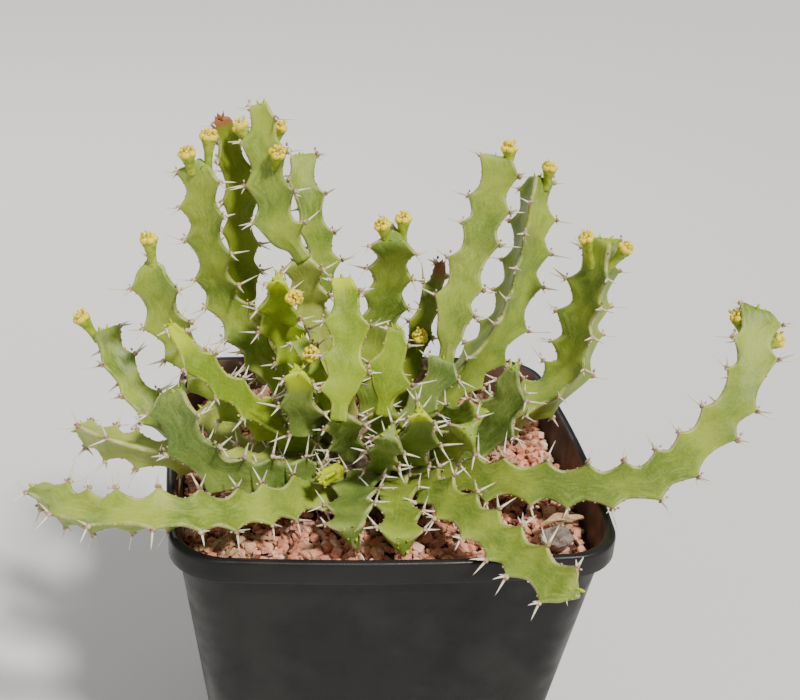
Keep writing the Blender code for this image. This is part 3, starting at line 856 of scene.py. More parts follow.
STEM_PLANS = (
    StemPlan("stem_left_sprawling",
         ((-9, -12, 103), (-41, -40, 111), (-63, -53, 118), (-85, -50, 117), (-99, -35, 115)), 7.2, 60, 55,
         tip=5.5),
    StemPlan("stem_left_pale",
         ((-16, -5, 103), (-57, -19, 116), (-78, -21, 122), (-90, -8, 120)), 6.1, 0, 10, Tone.OLD, 4.5),
    StemPlan("stem_left_outer",
         ((-65, -11, 122), (-71, -7, 126), (-80, 0, 138), (-84, 5, 145)), 6.0, -30, branch=True),
    StemPlan("stem_left_grey",
         ((-13, -9, 105), (-44, -29, 117), (-56, -32, 128), (-62, -29, 143)), 7.9, 40, 0, Tone.GREY),
    StemPlan("stem_left_leaning",
             ((-13, -3, 108), (-44, -7, 128), (-62, -7, 151), (-69, -9, 172)), 7.3, 0, 60),
    StemPlan("stem_left_tall", ((-15, 9, 105), (-45, 18, 145), (-52, 14, 167), (-56, 9, 196)), 7.0, 175),
    StemPlan("stem_back_left_old",
         ((-11, 12, 105), (-32, 26, 122), (-37, 30, 131), (-41, 28, 142)), 6.8, 180, 0, Tone.OLD),
    StemPlan("stem_back_left_olive",
         ((-41, 28, 145), (-43, 26, 158), (-45, 26, 183), (-50, 26, 205)), 6.3, 180, 30, Tone.OLIVE, 4.5,
         branch=True, dry=2.5),
    StemPlan("stem_back_old",
         ((-7, 12, 109), (-20, 19, 144), (-23, 17, 155), (-26, 12, 167)), 6.8, 180, 0, Tone.OLD),
    StemPlan("stem_back_tallest",
         ((-27, 12, 170), (-32, 14, 177), (-36, 17, 194), (-38, 20, 211)), 8.0, 170, tip=4.2, branch=True),
    StemPlan("stem_back_slim",
         ((-17, 24, 155), (-19, 26, 162), (-24, 30, 180), (-26, 36, 191)), 6.2, -40, branch=True),
    StemPlan("stem_middle_left_young",
         ((-13, 6, 108), (-30, 8, 144), (-32, 3, 155), (-33, -5, 167)), 7.3, 180, 0, Tone.YOUNG, 4, fresh=3),
    StemPlan("stem_front_stub", ((-9, -6, 107), (-12, -13, 120), (-15, -20, 131)), 6.7, 180, 0, Tone.GREY),
    StemPlan("stem_middle_young",
         ((-15, -21, 134), (-13, -12, 150), (-14, -4, 167)), 7.6, 180, 0, Tone.YOUNG, 4.5, True, fresh=3),
    StemPlan("stem_middle_tall", ((-2, 14, 108), (0, 17, 138), (2, 15, 163), (1, 8, 176)), 8.0, 180),
    StemPlan("stem_back_red_tip",
         ((5, 12, 108), (15, 21, 146), (18, 28, 151), (21, 34, 157)), 4.9, 180, 0, Tone.OLIVE, 2.5,
         dry=6.0),
    StemPlan("stem_right_stub",
             ((6, -1, 110), (11, 0, 121), (17, 2, 132), (19, 3, 138)), 6.6, 180, 0, Tone.GREY),
    StemPlan("stem_right_tall",
         ((20, 4, 141), (22, 8, 155), (29, 14, 175), (34, 20, 197)), 7.5, 172, branch=True),
    StemPlan("stem_back_right", ((7, 7, 109), (37, 20, 137), (47, 31, 160), (51, 40, 185)), 8.4, -15, tip=6),
    StemPlan("stem_right_broad",
             ((13, 5, 103), (57, 10, 124), (65, 13, 148), (68, 13, 174)), 9.2, 10, tip=6.5),
    StemPlan("stem_right_dark",
         ((14, 0, 103), (31, -5, 112), (38, -7, 127), (38, -9, 141)), 8.8, 30, 0, Tone.GREY, 4),
    StemPlan("stem_right_sweeping",
         ((11, -3, 104), (37, -24, 111), (74, -38, 120), (99, -32, 145), (107, -17, 164)), 7.6, 180),
    StemPlan("stem_front_right_trailing",
         ((9, -7, 103), (16, -42, 114), (29, -72, 117), (39, -90, 118)), 7.3, 160, 20),
    StemPlan("stem_front_short", ((3, -9, 103), (2, -32, 108), (1, -54, 109)), 7.6, 180),
    StemPlan("stem_front_broad", ((-5, -9, 106), (-10, -31, 108), (-13, -50, 110)), 8.2, -40, 0, Tone.GREY),
    StemPlan("shoot_front_bud", ((-17, -28, 116), (-20, -34, 118)), 3.4, 0, 0, Tone.BUD, 2.6, True),
    StemPlan("stem_front_left_dark",
         ((-13, -3, 114), (-20, -7, 122), (-25, -16, 129), (-28, -24, 147)),
             7.2, 180, 0, Tone.GREY, 4.5, fresh=6),
    StemPlan("stem_front_left_slim",
         ((-18, -14, 133), (-22, -8, 140), (-26, -3, 147)), 5.2, 180, 0, Tone.YOUNG, 3.5, True),
    StemPlan("stem_left_inner",
         ((-15, 5, 104), (-24, 3, 111), (-33, 4, 118), (-38, 4, 122)), 6.2, 180, 0, Tone.OLD),
    StemPlan("stem_left_low_old",
         ((-15, 0, 102), (-35, 0, 106), (-45, 8, 106), (-54, 19, 112)), 6.9, 180, 0, Tone.OLD),
    StemPlan("stem_centre_stub", ((-1, -6, 110), (0, -9, 121), (0, -13, 129)), 7.0, 180, 0, Tone.OLIVE),
    StemPlan("stem_centre_young",
             ((-1, -14, 132), (0, -11, 142), (2, -8, 153)), 7.7, 180, 0, Tone.YOUNG, 4, True),
    StemPlan("stem_centre_star",
             ((6, -9, 107), (8, -22, 125), (6, -35, 140)), 7.6, 180, 0, Tone.GREY, 4, fresh=3),
    StemPlan("stem_centre_small_star",
             ((0, -11, 107), (-2, -24, 119), (-2, -37, 134)), 5.7, 180, 0, Tone.GREY),
    StemPlan("stem_centre_right_blade", ((11, -7, 107), (20, -18, 121), (22, -29, 131)), 6.6, 180),
    StemPlan("stem_centre_right_short", ((10, 4, 110), (21, -4, 120), (28, -13, 128)), 6.3, 180),
    StemPlan("shoot_left_bright",
         ((-31, -12, 122), (-43, -17, 134), (-56, -19, 147), (-63, -18, 158)), 5.6, 200, 0, Tone.YOUNG, 2.4,
         branch=True, fresh=8),
)


@dataclass
class Stem:
    """A succulent stem: three wings with toothed margins, and a pair of spines on every tooth."""

    plan: StemPlan
    number: int
    step: float = 0.8 * MM  # between rings
    waist: float = 0.60  # wing radius between two teeth, as a share of the tooth radius
    valley: float = 0.34  # radius at the middle of a face, as a share of the tooth radius
    margin: float = 0.62 * MM  # half the thickness of a wing's edge
    flank: tuple[float, ...] = (0.0, 0.09, 0.24, 0.44, 0.64, 0.84)  # from an edge to mid-face
    spine_length: float = 6.6 * MM
    spine_foot: float = 0.50 * MM
    chance: random.Random = field(init=False)
    route: Route = field(init=False)
    neck_length: float = field(init=False)
    teeth: list[list[tuple[float, float]]] = field(init=False)

    def __post_init__(self) -> None:
        """Lays the route and the teeth."""
        self.chance = random.Random(self.plan.name)
        self.route = Route([Vector(point) * MM for point in self.plan.points])
        length = self.route.length
        branch_neck, crown_neck = min(BRANCH_NECK, 0.3 * length), min(CROWN_NECK, 0.5 * length)
        self.neck_length = branch_neck if self.plan.branch else crown_neck
        self.teeth = self._lay_teeth()

    def _lay_teeth(self) -> list[list[tuple[float, float]]]:
        """Where each wing's teeth are, as (run from the root, size), tip first. The wings take turns.

        Returns:
            Each wing's teeth.
        """
        length = self.route.length
        count = max(4, round(length / (TOOTH_PITCH / 3)))
        spacing = length / count
        wings: list[list[tuple[float, float]]] = [[], [], []]
        for index in range(count):
            jitter = 0.0 if index < 2 else self.chance.uniform(-0.28, 0.28) * spacing * 1.6
            run = length - index * spacing + jitter
            if run > min(4 * MM, length * 0.2):
                wings[(index + 1) % 3].append((run, self.chance.uniform(0.88, 1.08)))
        return wings

    def wing_reach(self, run: float) -> float:
        """Full radius out to a tooth this far along, before the teeth are cut.

        Args:
            run: how far along.

        Returns:
            The radius.
        """
        wing = self.plan.wing * FULLER * MM
        if self.plan.tip:
            left = self.route.length - run
            wing += (self.plan.tip * FULLER * MM - wing) * smooth_step(1 - left / TIP_NARROWS_OVER)
        return wing

    def tooth_share(self, wing: int, run: float) -> tuple[float, float]:
        """How near a wing's margin is to a tooth.

        Args:
            wing: 0, 1 or 2.
            run: distance from the root.

        Returns:
            The margin's share of the way from waist to tooth, and 1 right at a tooth falling to 0.
        """
        best, near = 0.0, 0.0
        reach = TOOTH_PITCH * 0.56
        for where, size in self.teeth[wing]:
            away = run - where
            away = away / (reach * 0.78) if away > 0 else -away / (reach * 1.22)
            if away < 1:
                share = size * (0.88 * (1 - away) ** 2.2 + 0.12 * (1 - away * away))
                best = max(best, share)
                near = max(near, 1 - abs(run - where) / (2.5 * MM))
        return best, near

    def frame_at(self, run: float) -> tuple[Vector, Vector, Vector]:
        """The stem's direction there, and the two directions square to it."""
        ahead = self.route.ahead(run)
        front = (FACE - FACE.dot(ahead) * ahead).normalized()
        return ahead, front, ahead.cross(front)

    def wing_angle(self, wing: int, run: float) -> float:
        """Where a wing points, in radians round the stem."""
        share = max(0.0, min(1.0, run / self.route.length))
        return math.radians(self.plan.roll + self.plan.twist * share + 120 * wing)

    def section(self, run: float) -> list[tuple[float, float, float, float]]:
        """The outline of the stem this far along.

        Args:
            run: how far along.

        Returns:
            (x, y, edge, tooth) for each point round it, where edge is 0 in the middle of a face and
            1 on a margin, and tooth is 1 on a tooth.
        """
        full = self.wing_reach(run)
        swell = smooth_step(run / self.neck_length)
        core = self.valley * full
        core = NECK_RADIUS * 0.82 + (core - NECK_RADIUS * 0.82) * swell
        outline = []
        for wing in range(3):
            share, near = self.tooth_share(wing, run)
            reach = full * (self.waist + (1 - self.waist) * share)
            reach = NECK_RADIUS + (reach - NECK_RADIUS) * swell
            thick = min(self.margin * (0.75 + 0.25 * (1 - share)), reach * 0.34)
            turn = self.wing_angle(wing, run)
            start = Vector((reach - thick * 0.7, thick))
            end = Vector((0.5 * core, 0.866 * core))
            swollen = (0.30 + 0.42 * share) * (reach - core)
            control = end + Vector((0.866, -0.5)) * swollen
            flank = []
            for t in self.flank:
                flank.append(((1 - t) ** 2 * start + 2 * t * (1 - t) * control + t * t * end, 1 - t))
            half = [(Vector((place.x, -place.y)), edge) for place, edge in reversed(flank)]
            half.append((Vector((reach, 0.0)), 1.0))
            half.extend(flank)
            half.append((end, 0.0))
            cos, sin = math.cos(turn), math.sin(turn)
            for place, edge in half:
                tooth = near * smooth_step((edge - 0.6) / 0.4)
                outline.append((place.x * cos - place.y * sin, place.x * sin + place.y * cos, edge, tooth))
        return outline

    def add_flesh(self, shell: Shell) -> None:
        """Lofts the outline along the route, from inside what it grows from to a blunt top.

        Args:
            shell: the mesh being made.
        """
        length = self.route.length
        buried = 4.0 * MM if self.plan.branch else 6.0 * MM
        count = max(10, round((length + buried) / self.step))
        blunt = min(1.5 * MM, length * 0.2)
        cusps = [run for wing in self.teeth for run, _ in wing]
        runs = [-buried + (length + buried) * step / count for step in range(count + 1)]
        runs = [run for run in runs if all(abs(run - cusp) > 0.5 * self.step for cusp in cusps)]
        runs = sorted(set(runs + cusps + [length]))
        rings = []
        number = (self.number + 1) * 0.37
        old = 1.0 if not self.plan.branch else 0.5

        def lay(run: float, scale: float, lift: float) -> list[int]:
            """One ring of vertices.

            Args:
                run: how far along.
                scale: its size against the outline.
                lift: how far it is moved on.

            Returns:
                The ring's vertices.
            """
            ahead, front, side = self.frame_at(run)
            middle = self.route.at(run) + lift * ahead
            left = length - run
            age = old * (1 - smooth_step(run / (18 * MM))) if self.plan.tone is not Tone.BUD else 0.0
            worn = 0.45 if self.plan.tone is Tone.OLD else 0.0
            ring = []
            for x, y, edge, tooth in self.section(run):
                where = middle + scale * (x * front + y * side)
                rough = noise.noise(where / (7 * MM)) * 0.55 * MM
                rough += noise.noise(where / (2.2 * MM)) * 0.12 * MM
                where = where + rough * (where - middle).normalized() * (1 - edge)
                dry = smooth_step(1.3 - left / self.plan.dry / MM) if self.plan.dry else 0.0
                fresh = smooth_step(1.4 - left / self.plan.fresh / MM) if self.plan.fresh else 0.0
                ring.append(shell.point(where, edge=edge, tooth=tooth, age=max(age, worn),
                                        along=run, stem=number, dry=dry, fresh=fresh))
            return ring

        for run in runs:
            left = length - run
            scale = 1.0 if left > blunt else 0.90 + 0.10 * math.sqrt(max(0.0, 1 - (1 - left / blunt) ** 2))
            rings.append(lay(run, scale, 0.0))
        top = self.wing_reach(length)
        for scale, lift in ((0.74, 0.06), (0.50, 0.08), (0.25, 0.09)):
            rings.append(lay(length, scale, top * lift))
        for lower, upper in zip(rings, rings[1:]):
            shell.bridge(lower, upper)
        ahead = self.route.ahead(length)
        shell.fan(rings[0], shell.point(self.route.at(-buried), age=1.0, stem=number), turned=True)
        hub = shell.point(self.route.at(length) + ahead * top * 0.09, along=length, stem=number)
        shell.fan(rings[-1], hub)

    def add_cone(self, shell: Shell, foot: Vector, way: Vector, sag: Vector, length: float,
                 radius: float) -> None:
        """One spine: a slim, slightly bent cone.

        Args:
            shell: where it goes.
            foot: the middle of its base.
            way: the direction it sets off in.
            sag: the sideways bend, as a length at its point.
            length: its length.
            radius: the radius of its base.
        """
        across = way.orthogonal().normalized()
        along = way.cross(across)
        rings = []
        for reach, width in ((0.0, 1.0), (0.16, 0.74), (0.5, 0.50), (0.8, 0.27)):
            middle = foot + way * length * reach + sag * reach * reach
            ring = []
            for k in range(5):
                angle = math.tau * k / 5
                spoke = across * math.cos(angle) + along * math.sin(angle)
                ring.append(shell.point(middle + spoke * radius * width, reach=reach, edge=1.0))
            rings.append(ring)
        for lower, upper in zip(rings, rings[1:]):
            shell.bridge(lower, upper, 1)
        shell.fan(rings[0], shell.point(foot, edge=1.0), 1, turned=True)
        shell.fan(rings[-1], shell.point(foot + way * length + sag, reach=1.0, edge=1.0), 1)

    def add_pad(self, shell: Shell, middle: Vector, out: Vector, ahead: Vector, radius: float) -> None:
        """The horny pad under a pair of spines, longer along the margin than across it.

        Args:
            shell: the mesh being made.
            middle: where it sits.
            out: the way out of the stem.
            ahead: the stem's direction.
            radius: its half width.
        """
        across = out.cross(ahead).normalized()
        rings = []
        for level, width in ((-0.5, 0.85), (0.25, 1.0), (0.75, 0.62)):
            ring = []
            for k in range(7):
                angle = math.tau * k / 7
                spoke = ahead * math.cos(angle) * 1.25 + across * math.sin(angle) * 0.9
                wobble = self.chance.uniform(0.85, 1.15)
                ring.append(shell.point(middle + out * level * radius + spoke * radius * width * wobble))
            rings.append(ring)
        for lower, upper in zip(rings, rings[1:]):
            shell.bridge(lower, upper, 2)
        shell.fan(rings[0], shell.point(middle - out * radius * 0.6), 2, turned=True)
        shell.fan(rings[-1], shell.point(middle + out * radius * 0.95), 2)

    def add_armour(self, shell: Shell) -> None:
        """Pads, spine pairs and small buds along the three margins.

        Args:
            shell: the mesh being made.
        """
        chance = self.chance
        small = self.plan.tone is Tone.BUD
        for wing in range(3):
            for run, size in self.teeth[wing]:
                ahead, front, side = self.frame_at(run)
                turn = self.wing_angle(wing, run)
                out = (front * math.cos(turn) + side * math.sin(turn)).normalized()
                across = ahead.cross(out)
                share, _ = self.tooth_share(wing, run)
                full = self.wing_reach(run) * (self.waist + (1 - self.waist) * share)
                swell = smooth_step(run / self.neck_length)
                reach = NECK_RADIUS + (full - NECK_RADIUS) * swell
                left = self.route.length - run
                reach *= 0.92 if left < 0.6 * MM else 1.0
                tooth = self.route.at(min(run, self.route.length - 0.3 * MM)) + out * reach
                radius = (0.45 if small else chance.uniform(0.62, 0.92)) * MM
                self.add_pad(shell, tooth, out, ahead, radius)
                if small:
                    continue
                spread = chance.uniform(0.55, 0.95)
                lean = chance.uniform(-0.15, 0.45)
                length = self.spine_length * chance.uniform(0.62, 1.12)
                length *= 0.6 + 0.4 * min(1.0, left / (6 * MM))
                for hand in (-1, 1):
                    apart = across * hand * spread * chance.uniform(0.8, 1.2)
                    way = (out + apart + ahead * lean).normalized()
                    sag = across * -hand * 0.5 + ahead * chance.uniform(-0.4, 0.7)
                    sag = sag * chance.uniform(0.2, 0.9) * MM
                    foot = tooth + across * hand * radius * 0.35 + out * radius * 0.1
                    self.add_cone(shell, foot, way, sag, length * chance.uniform(0.8, 1.1), self.spine_foot)
                if chance.random() < 0.55:
                    bud = tooth + ahead * radius * 2.1 - out * radius * 0.4
                    self.add_pad(shell, bud, (out + ahead * 0.3).normalized(), ahead, radius * 0.55)
                if chance.random() < 0.4:
                    way = (out - ahead * 0.9 + across * chance.uniform(-0.6, 0.6)).normalized()
                    self.add_cone(shell, tooth - ahead * radius, way, across * 0.2 * MM,
                                  chance.uniform(1.2, 2.4) * MM, self.spine_foot * 0.6)
            self.add_dots(shell, wing)

    def add_dots(self, shell: Shell, wing: int) -> None:
        """Tiny pale glands along a margin, between its teeth.

        Args:
            shell: the mesh being made.
            wing: which margin.
        """
        run = self.neck_length
        while run < self.route.length - 2 * MM:
            run += self.chance.uniform(2.2, 5.5) * MM
            _, near = self.tooth_share(wing, run)
            if near > 0.72 or run > self.route.length - 2 * MM:
                continue
            ahead, front, side = self.frame_at(run)
            turn = self.wing_angle(wing, run)
            out = (front * math.cos(turn) + side * math.sin(turn)).normalized()
            share, _ = self.tooth_share(wing, run)
            full = self.wing_reach(run) * (self.waist + (1 - self.waist) * share)
            reach = NECK_RADIUS + (full - NECK_RADIUS) * smooth_step(run / self.neck_length)
            self.add_pad(shell, self.route.at(run) + out * reach, out, ahead,
                         self.chance.uniform(0.16, 0.34) * MM)

    def add_growth(self, shell: Shell) -> None:
        """A tuft of tiny scale leaves at the tip, dried up where the tip is.

        Args:
            shell: the mesh being made.
        """
        length = self.route.length
        ahead, front, side = self.frame_at(length)
        top = self.wing_reach(length) * 0.5
        dried = 1.0 if self.plan.dry else 0.0
        for k in range(7 if self.plan.dry else 5):
            angle = math.tau * k / 5 + self.chance.uniform(-0.5, 0.5)
            out = front * math.cos(angle) + side * math.sin(angle)
            foot = self.route.at(length) + out * top * self.chance.uniform(0.2, 0.75)
            way = (ahead + out * self.chance.uniform(0.1, 0.9)).normalized()
            across = way.cross(out).normalized()
            tall = self.chance.uniform(1.1, 2.3) * MM
            wide = self.chance.uniform(0.45, 0.75) * MM
            rings = []
            for reach, width in ((-0.35, 1.0), (0.35, 0.95), (0.75, 0.5)):
                middle = foot + way * tall * reach
                ring = []
                for x, y in ((1, 0), (0, 0.45), (-1, 0), (0, -0.45)):
                    where = middle + (across * x + out * y) * wide * width
                    ring.append(shell.point(where, edge=0.5, along=length, dry=dried, fresh=1.0 - dried))
                rings.append(ring)
            for lower, upper in zip(rings, rings[1:]):
                shell.bridge(lower, upper)
            shell.fan(rings[0], shell.point(foot - way * tall * 0.45, dry=dried), turned=True)
            shell.fan(rings[-1], shell.point(foot + way * tall, edge=0.9, dry=dried, fresh=1.0 - dried))

    def build(self, skins: dict[Tone, bpy.types.Material], spine: bpy.types.Material,
              horn: bpy.types.Material) -> bpy.types.Object:
        """Makes the whole stem as one piece.

        Args:
            skins: the skin of each tone.
            spine: the spines' finish.
            horn: the pads' finish.

        Returns:
            The stem.
        """
        shell = Shell(("edge", "tooth", "age", "along", "stem", "reach", "dry", "fresh"))
        self.add_flesh(shell)
        self.add_armour(shell)
        self.add_growth(shell)
        return shell.build(self.plan.name + "_visual", [skins[self.plan.tone], spine, horn])


# ------------------------------------------------------------------ crown


@dataclass
class Crown:
    """The knobbly woody root crown, with a stub reaching to every stem that starts on it."""

    middle: Vector = field(default_factory=lambda: Vector((-1, 2, 100)) * MM)
    radius: float = 11.2 * MM
    height: float = 9.0 * MM
    root_depth: float = 22.0 * MM
    voxel: float = 0.55 * MM

    def dome(self) -> bpy.types.Object:
        """The crown itself, turned as a ball and drawn out into the taproot.

        Returns:
            The dome.
        """
        deselect()
        bpy.ops.mesh.primitive_uv_sphere_add(segments=40, ring_count=24, radius=self.radius,
                                             location=self.middle)
        thing = bpy.context.object
        for vertex in thing.data.vertices:
            place = vertex.co
            if place.z > 0:
                place.z *= self.height / self.radius
            else:
                deep = -place.z / self.radius
                place.z = -self.root_depth * deep
                place.x *= 1 - 0.35 * deep
                place.y *= 1 - 0.35 * deep
        return thing

    def stub(self, stem: Stem) -> bpy.types.Object:
        """A tapered foot from inside the crown to where a stem begins.

        Args:
            stem: the stem it reaches.

        Returns:
            The foot.
        """
        start = self.middle + Vector((0, 0, -1 * MM))
        end = stem.route.at(3.5 * MM)
        way = end - start
        deselect()
        bpy.ops.mesh.primitive_cone_add(vertices=14, radius1=4.2 * MM, radius2=NECK_RADIUS * 1.12,
                                        depth=way.length, location=(start + end) / 2,
                                        rotation=way.to_track_quat("Z", "Y").to_euler())
        return bpy.context.object

    def build(self, stems: list[Stem], bark: bpy.types.Material) -> bpy.types.Object:
        """Melts the dome and the stubs into one and roughens it.

        Args:
            stems: every stem of the plant.
            bark: its finish.

        Returns:
            The crown.
        """
        made = [self.dome()] + [self.stub(stem) for stem in stems if not stem.plan.branch]
        thing = join(made, "crown_visual")
        melt = thing.modifiers.new("melt", "REMESH")
        melt.mode = "VOXEL"
        melt.voxel_size = self.voxel
        ease = thing.modifiers.new("ease", "SMOOTH")
        ease.iterations = 3
        take(thing)
        bpy.ops.object.modifier_apply(modifier="melt")
        bpy.ops.object.modifier_apply(modifier="ease")
        mesh = thing.data
        normals = [vertex.normal.copy() for vertex in mesh.vertices]
        for vertex, normal in zip(mesh.vertices, normals):
            knob = noise.noise(vertex.co / (5 * MM)) * 0.9 + noise.noise(vertex.co / (1.8 * MM)) * 0.35
            vertex.co += normal * knob * 0.6 * MM
        mesh.materials.clear()
        mesh.materials.append(bark)
        mesh.shade_smooth()
        return thing


# ------------------------------------------------------------------ cyathia


@dataclass
class CyathiumPattern:
    """A stalked yellow cup with knobbly glands and a tuft of stamens, modelled upright at the origin."""

    seed: int
    stalk: float = 1.15 * MM
    cup: float = 2.3 * MM
    height: float = 6.5 * MM  # to the cup's rim
    sides: int = 14
    glands: int = 5
    stamens: int = 10

    def turned(self) -> bpy.types.Object:
        """The stalk and the cup: a disc extruded ring by ring along its own axis.

        Returns:
            The turned part.
        """
        low, height = self.stalk * 1.1, self.height
        profile = (
            (self.stalk, height * 0.22), (self.stalk * 1.15, height * 0.44),
            (self.stalk * 1.45, height * 0.60), (self.cup * 0.78, height * 0.72),
            (self.cup * 0.95, height * 0.86), (self.cup * 0.92, height * 1.0),
            (self.cup * 0.66, height * 1.02), (self.cup * 0.45, height * 0.95),
        )
        deselect()
        bpy.ops.mesh.primitive_circle_add(vertices=self.sides, radius=low, fill_type="NGON")
        thing = bpy.context.object
        bpy.ops.object.mode_set(mode="EDIT")
        bpy.ops.mesh.select_all(action="SELECT")
        radius, level = low, 0.0
        for wide, high in profile:
            bpy.ops.mesh.extrude_region_move(TRANSFORM_OT_translate={"value": (0, 0, high - level)})
            grow = wide / radius
            bpy.ops.transform.resize(value=(grow, grow, 1), center_override=(0, 0, high))
            radius, level = wide, high
        bpy.ops.mesh.select_all(action="SELECT")
        bpy.ops.mesh.normals_make_consistent(inside=False)
        bpy.ops.object.mode_set(mode="OBJECT")
        return thing

    def gland(self, angle: float, chance: random.Random) -> bpy.types.Object:
        """One fleshy gland on the rim of the cup.

        Args:
            angle: where on the rim.
            chance: the random draws.

        Returns:
            The part, placed.
        """
        reach = self.cup * chance.uniform(0.62, 0.74)
        deselect()
        bpy.ops.mesh.primitive_uv_sphere_add(
            segments=9, ring_count=6, radius=1.2 * MM * chance.uniform(0.9, 1.15),
            location=(reach * math.cos(angle), reach * math.sin(angle), self.height + 0.25 * MM),
            rotation=(0, -0.25, angle))
        thing = bpy.context.object
        thing.scale = (0.95, 1.1, 0.85)
        return thing

    def stamen(self, angle: float, spread: float, chance: random.Random) -> list[bpy.types.Object]:
        """A thin stalk with a two-lobed anther on it.

        Args:
            angle: where in the cup.
            spread: how far it leans out.
            chance: the random draws.

        Returns:
            The stalk and its anthers.
        """
        tall = chance.uniform(1.4, 2.6) * MM
        foot = Vector((math.cos(angle), math.sin(angle), 0)) * spread
        way = (Vector((foot.x * 0.55, foot.y * 0.55, 1.6 * MM))).normalized()
        tip = foot + way * tall + Vector((0, 0, self.height - 0.1 * MM))
        deselect()
        bpy.ops.mesh.primitive_cone_add(vertices=5, radius1=0.22 * MM, radius2=0.15 * MM, depth=tall * 1.3,
                                        location=tip - way * tall * 0.6,
                                        rotation=way.to_track_quat("Z", "Y").to_euler())
        parts = [bpy.context.object]
        for hand in (-1, 1):
            deselect()
            bpy.ops.mesh.primitive_ico_sphere_add(
                subdivisions=1, radius=chance.uniform(0.36, 0.52) * MM,
                location=tip + Vector((-way.y, way.x, 0.4)).normalized() * hand * 0.24 * MM)
            parts.append(bpy.context.object)
        return parts

    def build(self, cup: bpy.types.Material, gland: bpy.types.Material,
              anther: bpy.types.Material) -> bpy.types.Mesh:
        """Makes the pattern.

        Args:
            cup: the finish of the stalk and cup.
            gland: the finish of the glands.
            anther: the finish of the stamens.

        Returns:
            Its mesh, which belongs to no object.
        """
        chance = random.Random(self.seed)
        pieces = [self.turned()]
        pieces[0].data.materials.append(cup)
        start = chance.uniform(0, math.tau)
        for k in range(self.glands):
            made = self.gland(start + math.tau * k / self.glands, chance)
            made.data.materials.append(gland)
            pieces.append(made)
        for k in range(self.stamens):
            for made in self.stamen(start + 2.4 * k, 0.40 * MM * math.sqrt(k), chance):
                made.data.materials.append(anther)
                pieces.append(made)
        thing = join(pieces, "cyathium_pattern")
        soften(thing, 60)
        mesh = thing.data
        bpy.data.objects.remove(thing)
        return mesh


@dataclass
class Cyathium:
    """One flower, standing on its stem where its CAD solid is."""

    name: str
    host: str
    foot: Point  # on the stem's skin, mm
    rim: Point  # the middle of the cup's rim, mm
    shortest: float = 5.5 * MM
    buried: float = 1.0 * MM

    def build(self, pattern: bpy.types.Mesh, host: bpy.types.Object, height: float) -> bpy.types.Object:
        """Copies a pattern, draws its stalk out to the right length and stands it on the stem.

        Args:
            pattern: the mesh to copy.
            host: the stem that it grows from.
            height: the pattern's height, to the cup's rim.

        Returns:
            The flower.
        """
        top = Vector(self.rim) * MM
        skin = host.closest_point_on_mesh(Vector(self.foot) * MM)[1]
        way = (top - skin).normalized()
        foot = skin - way * self.buried
        drawn = max((top - foot).length, self.shortest) - height
        mesh = pattern.copy()
        turn = way.to_track_quat("Z", "Y").to_matrix() @ Matrix.Rotation(len(self.name), 3, "Z")
        for vertex in mesh.vertices:
            share = smooth_step(vertex.co.z / (height * 0.55))
            vertex.co = foot + turn @ (vertex.co + Vector((0, 0, drawn * share)))
        mesh.name = self.name + "_visual"
        thing = bpy.data.objects.new(self.name + "_visual", mesh)
        bpy.context.scene.collection.objects.link(thing)
        return thing


FLOWERS = (
    Cyathium("flower_left_outer", "stem_left_outer", (-87, 5, 143), (-89.5, 4, 150)),
    Cyathium("flower_left_leaning", "stem_left_leaning", (-68, -10, 173), (-69, -10, 180)),
    Cyathium("flower_left_tall_left", "stem_left_tall", (-58, 7, 195), (-59, 6, 200)),
    Cyathium("flower_left_tall_right", "stem_left_tall", (-53, 9, 196), (-53, 9, 204)),
    Cyathium("flower_tallest_left", "stem_back_tallest", (-42, 19, 198), (-44, 19, 204.5)),
    Cyathium("flower_tallest_right_back", "stem_back_tallest", (-34, 21, 198), (-33, 21, 204)),
    Cyathium("flower_tallest_right_front", "stem_back_tallest", (-34, 14, 195), (-33.5, 11, 199.5)),
    Cyathium("flower_middle_left", "stem_middle_left_young", (-29, -4, 160), (-28.5, -9, 163)),
    Cyathium("flower_front_left", "stem_front_left_slim", (-24, -9, 143), (-23.5, -13, 147)),
    Cyathium("flower_middle_left_tip", "stem_middle_tall", (-1, 7, 174), (-2.5, 6, 180)),
    Cyathium("flower_middle_right_tip", "stem_middle_tall", (4, 9, 175), (4, 9, 181)),
    Cyathium("flower_red_tip", "stem_back_red_tip", (13, 16, 136), (12.5, 13, 141)),
    Cyathium("flower_right_tall", "stem_right_tall", (36, 19, 195), (36, 19, 200.5)),
    Cyathium("flower_back_right", "stem_back_right", (54, 38, 183), (54, 38, 189)),
    Cyathium("flower_right_broad_left", "stem_right_broad", (62, 11, 167), (61, 11, 175.5)),
    Cyathium("flower_right_broad_right", "stem_right_broad", (73, 9, 166), (73, 9, 173)),
    Cyathium("flower_sweeping_left", "stem_right_sweeping", (101, -18, 156), (101, -18, 162.5)),
    Cyathium("flower_sweeping_right", "stem_right_sweeping", (112, -22, 151), (112.5, -22, 157)),
)


# ------------------------------------------------------------------ grit


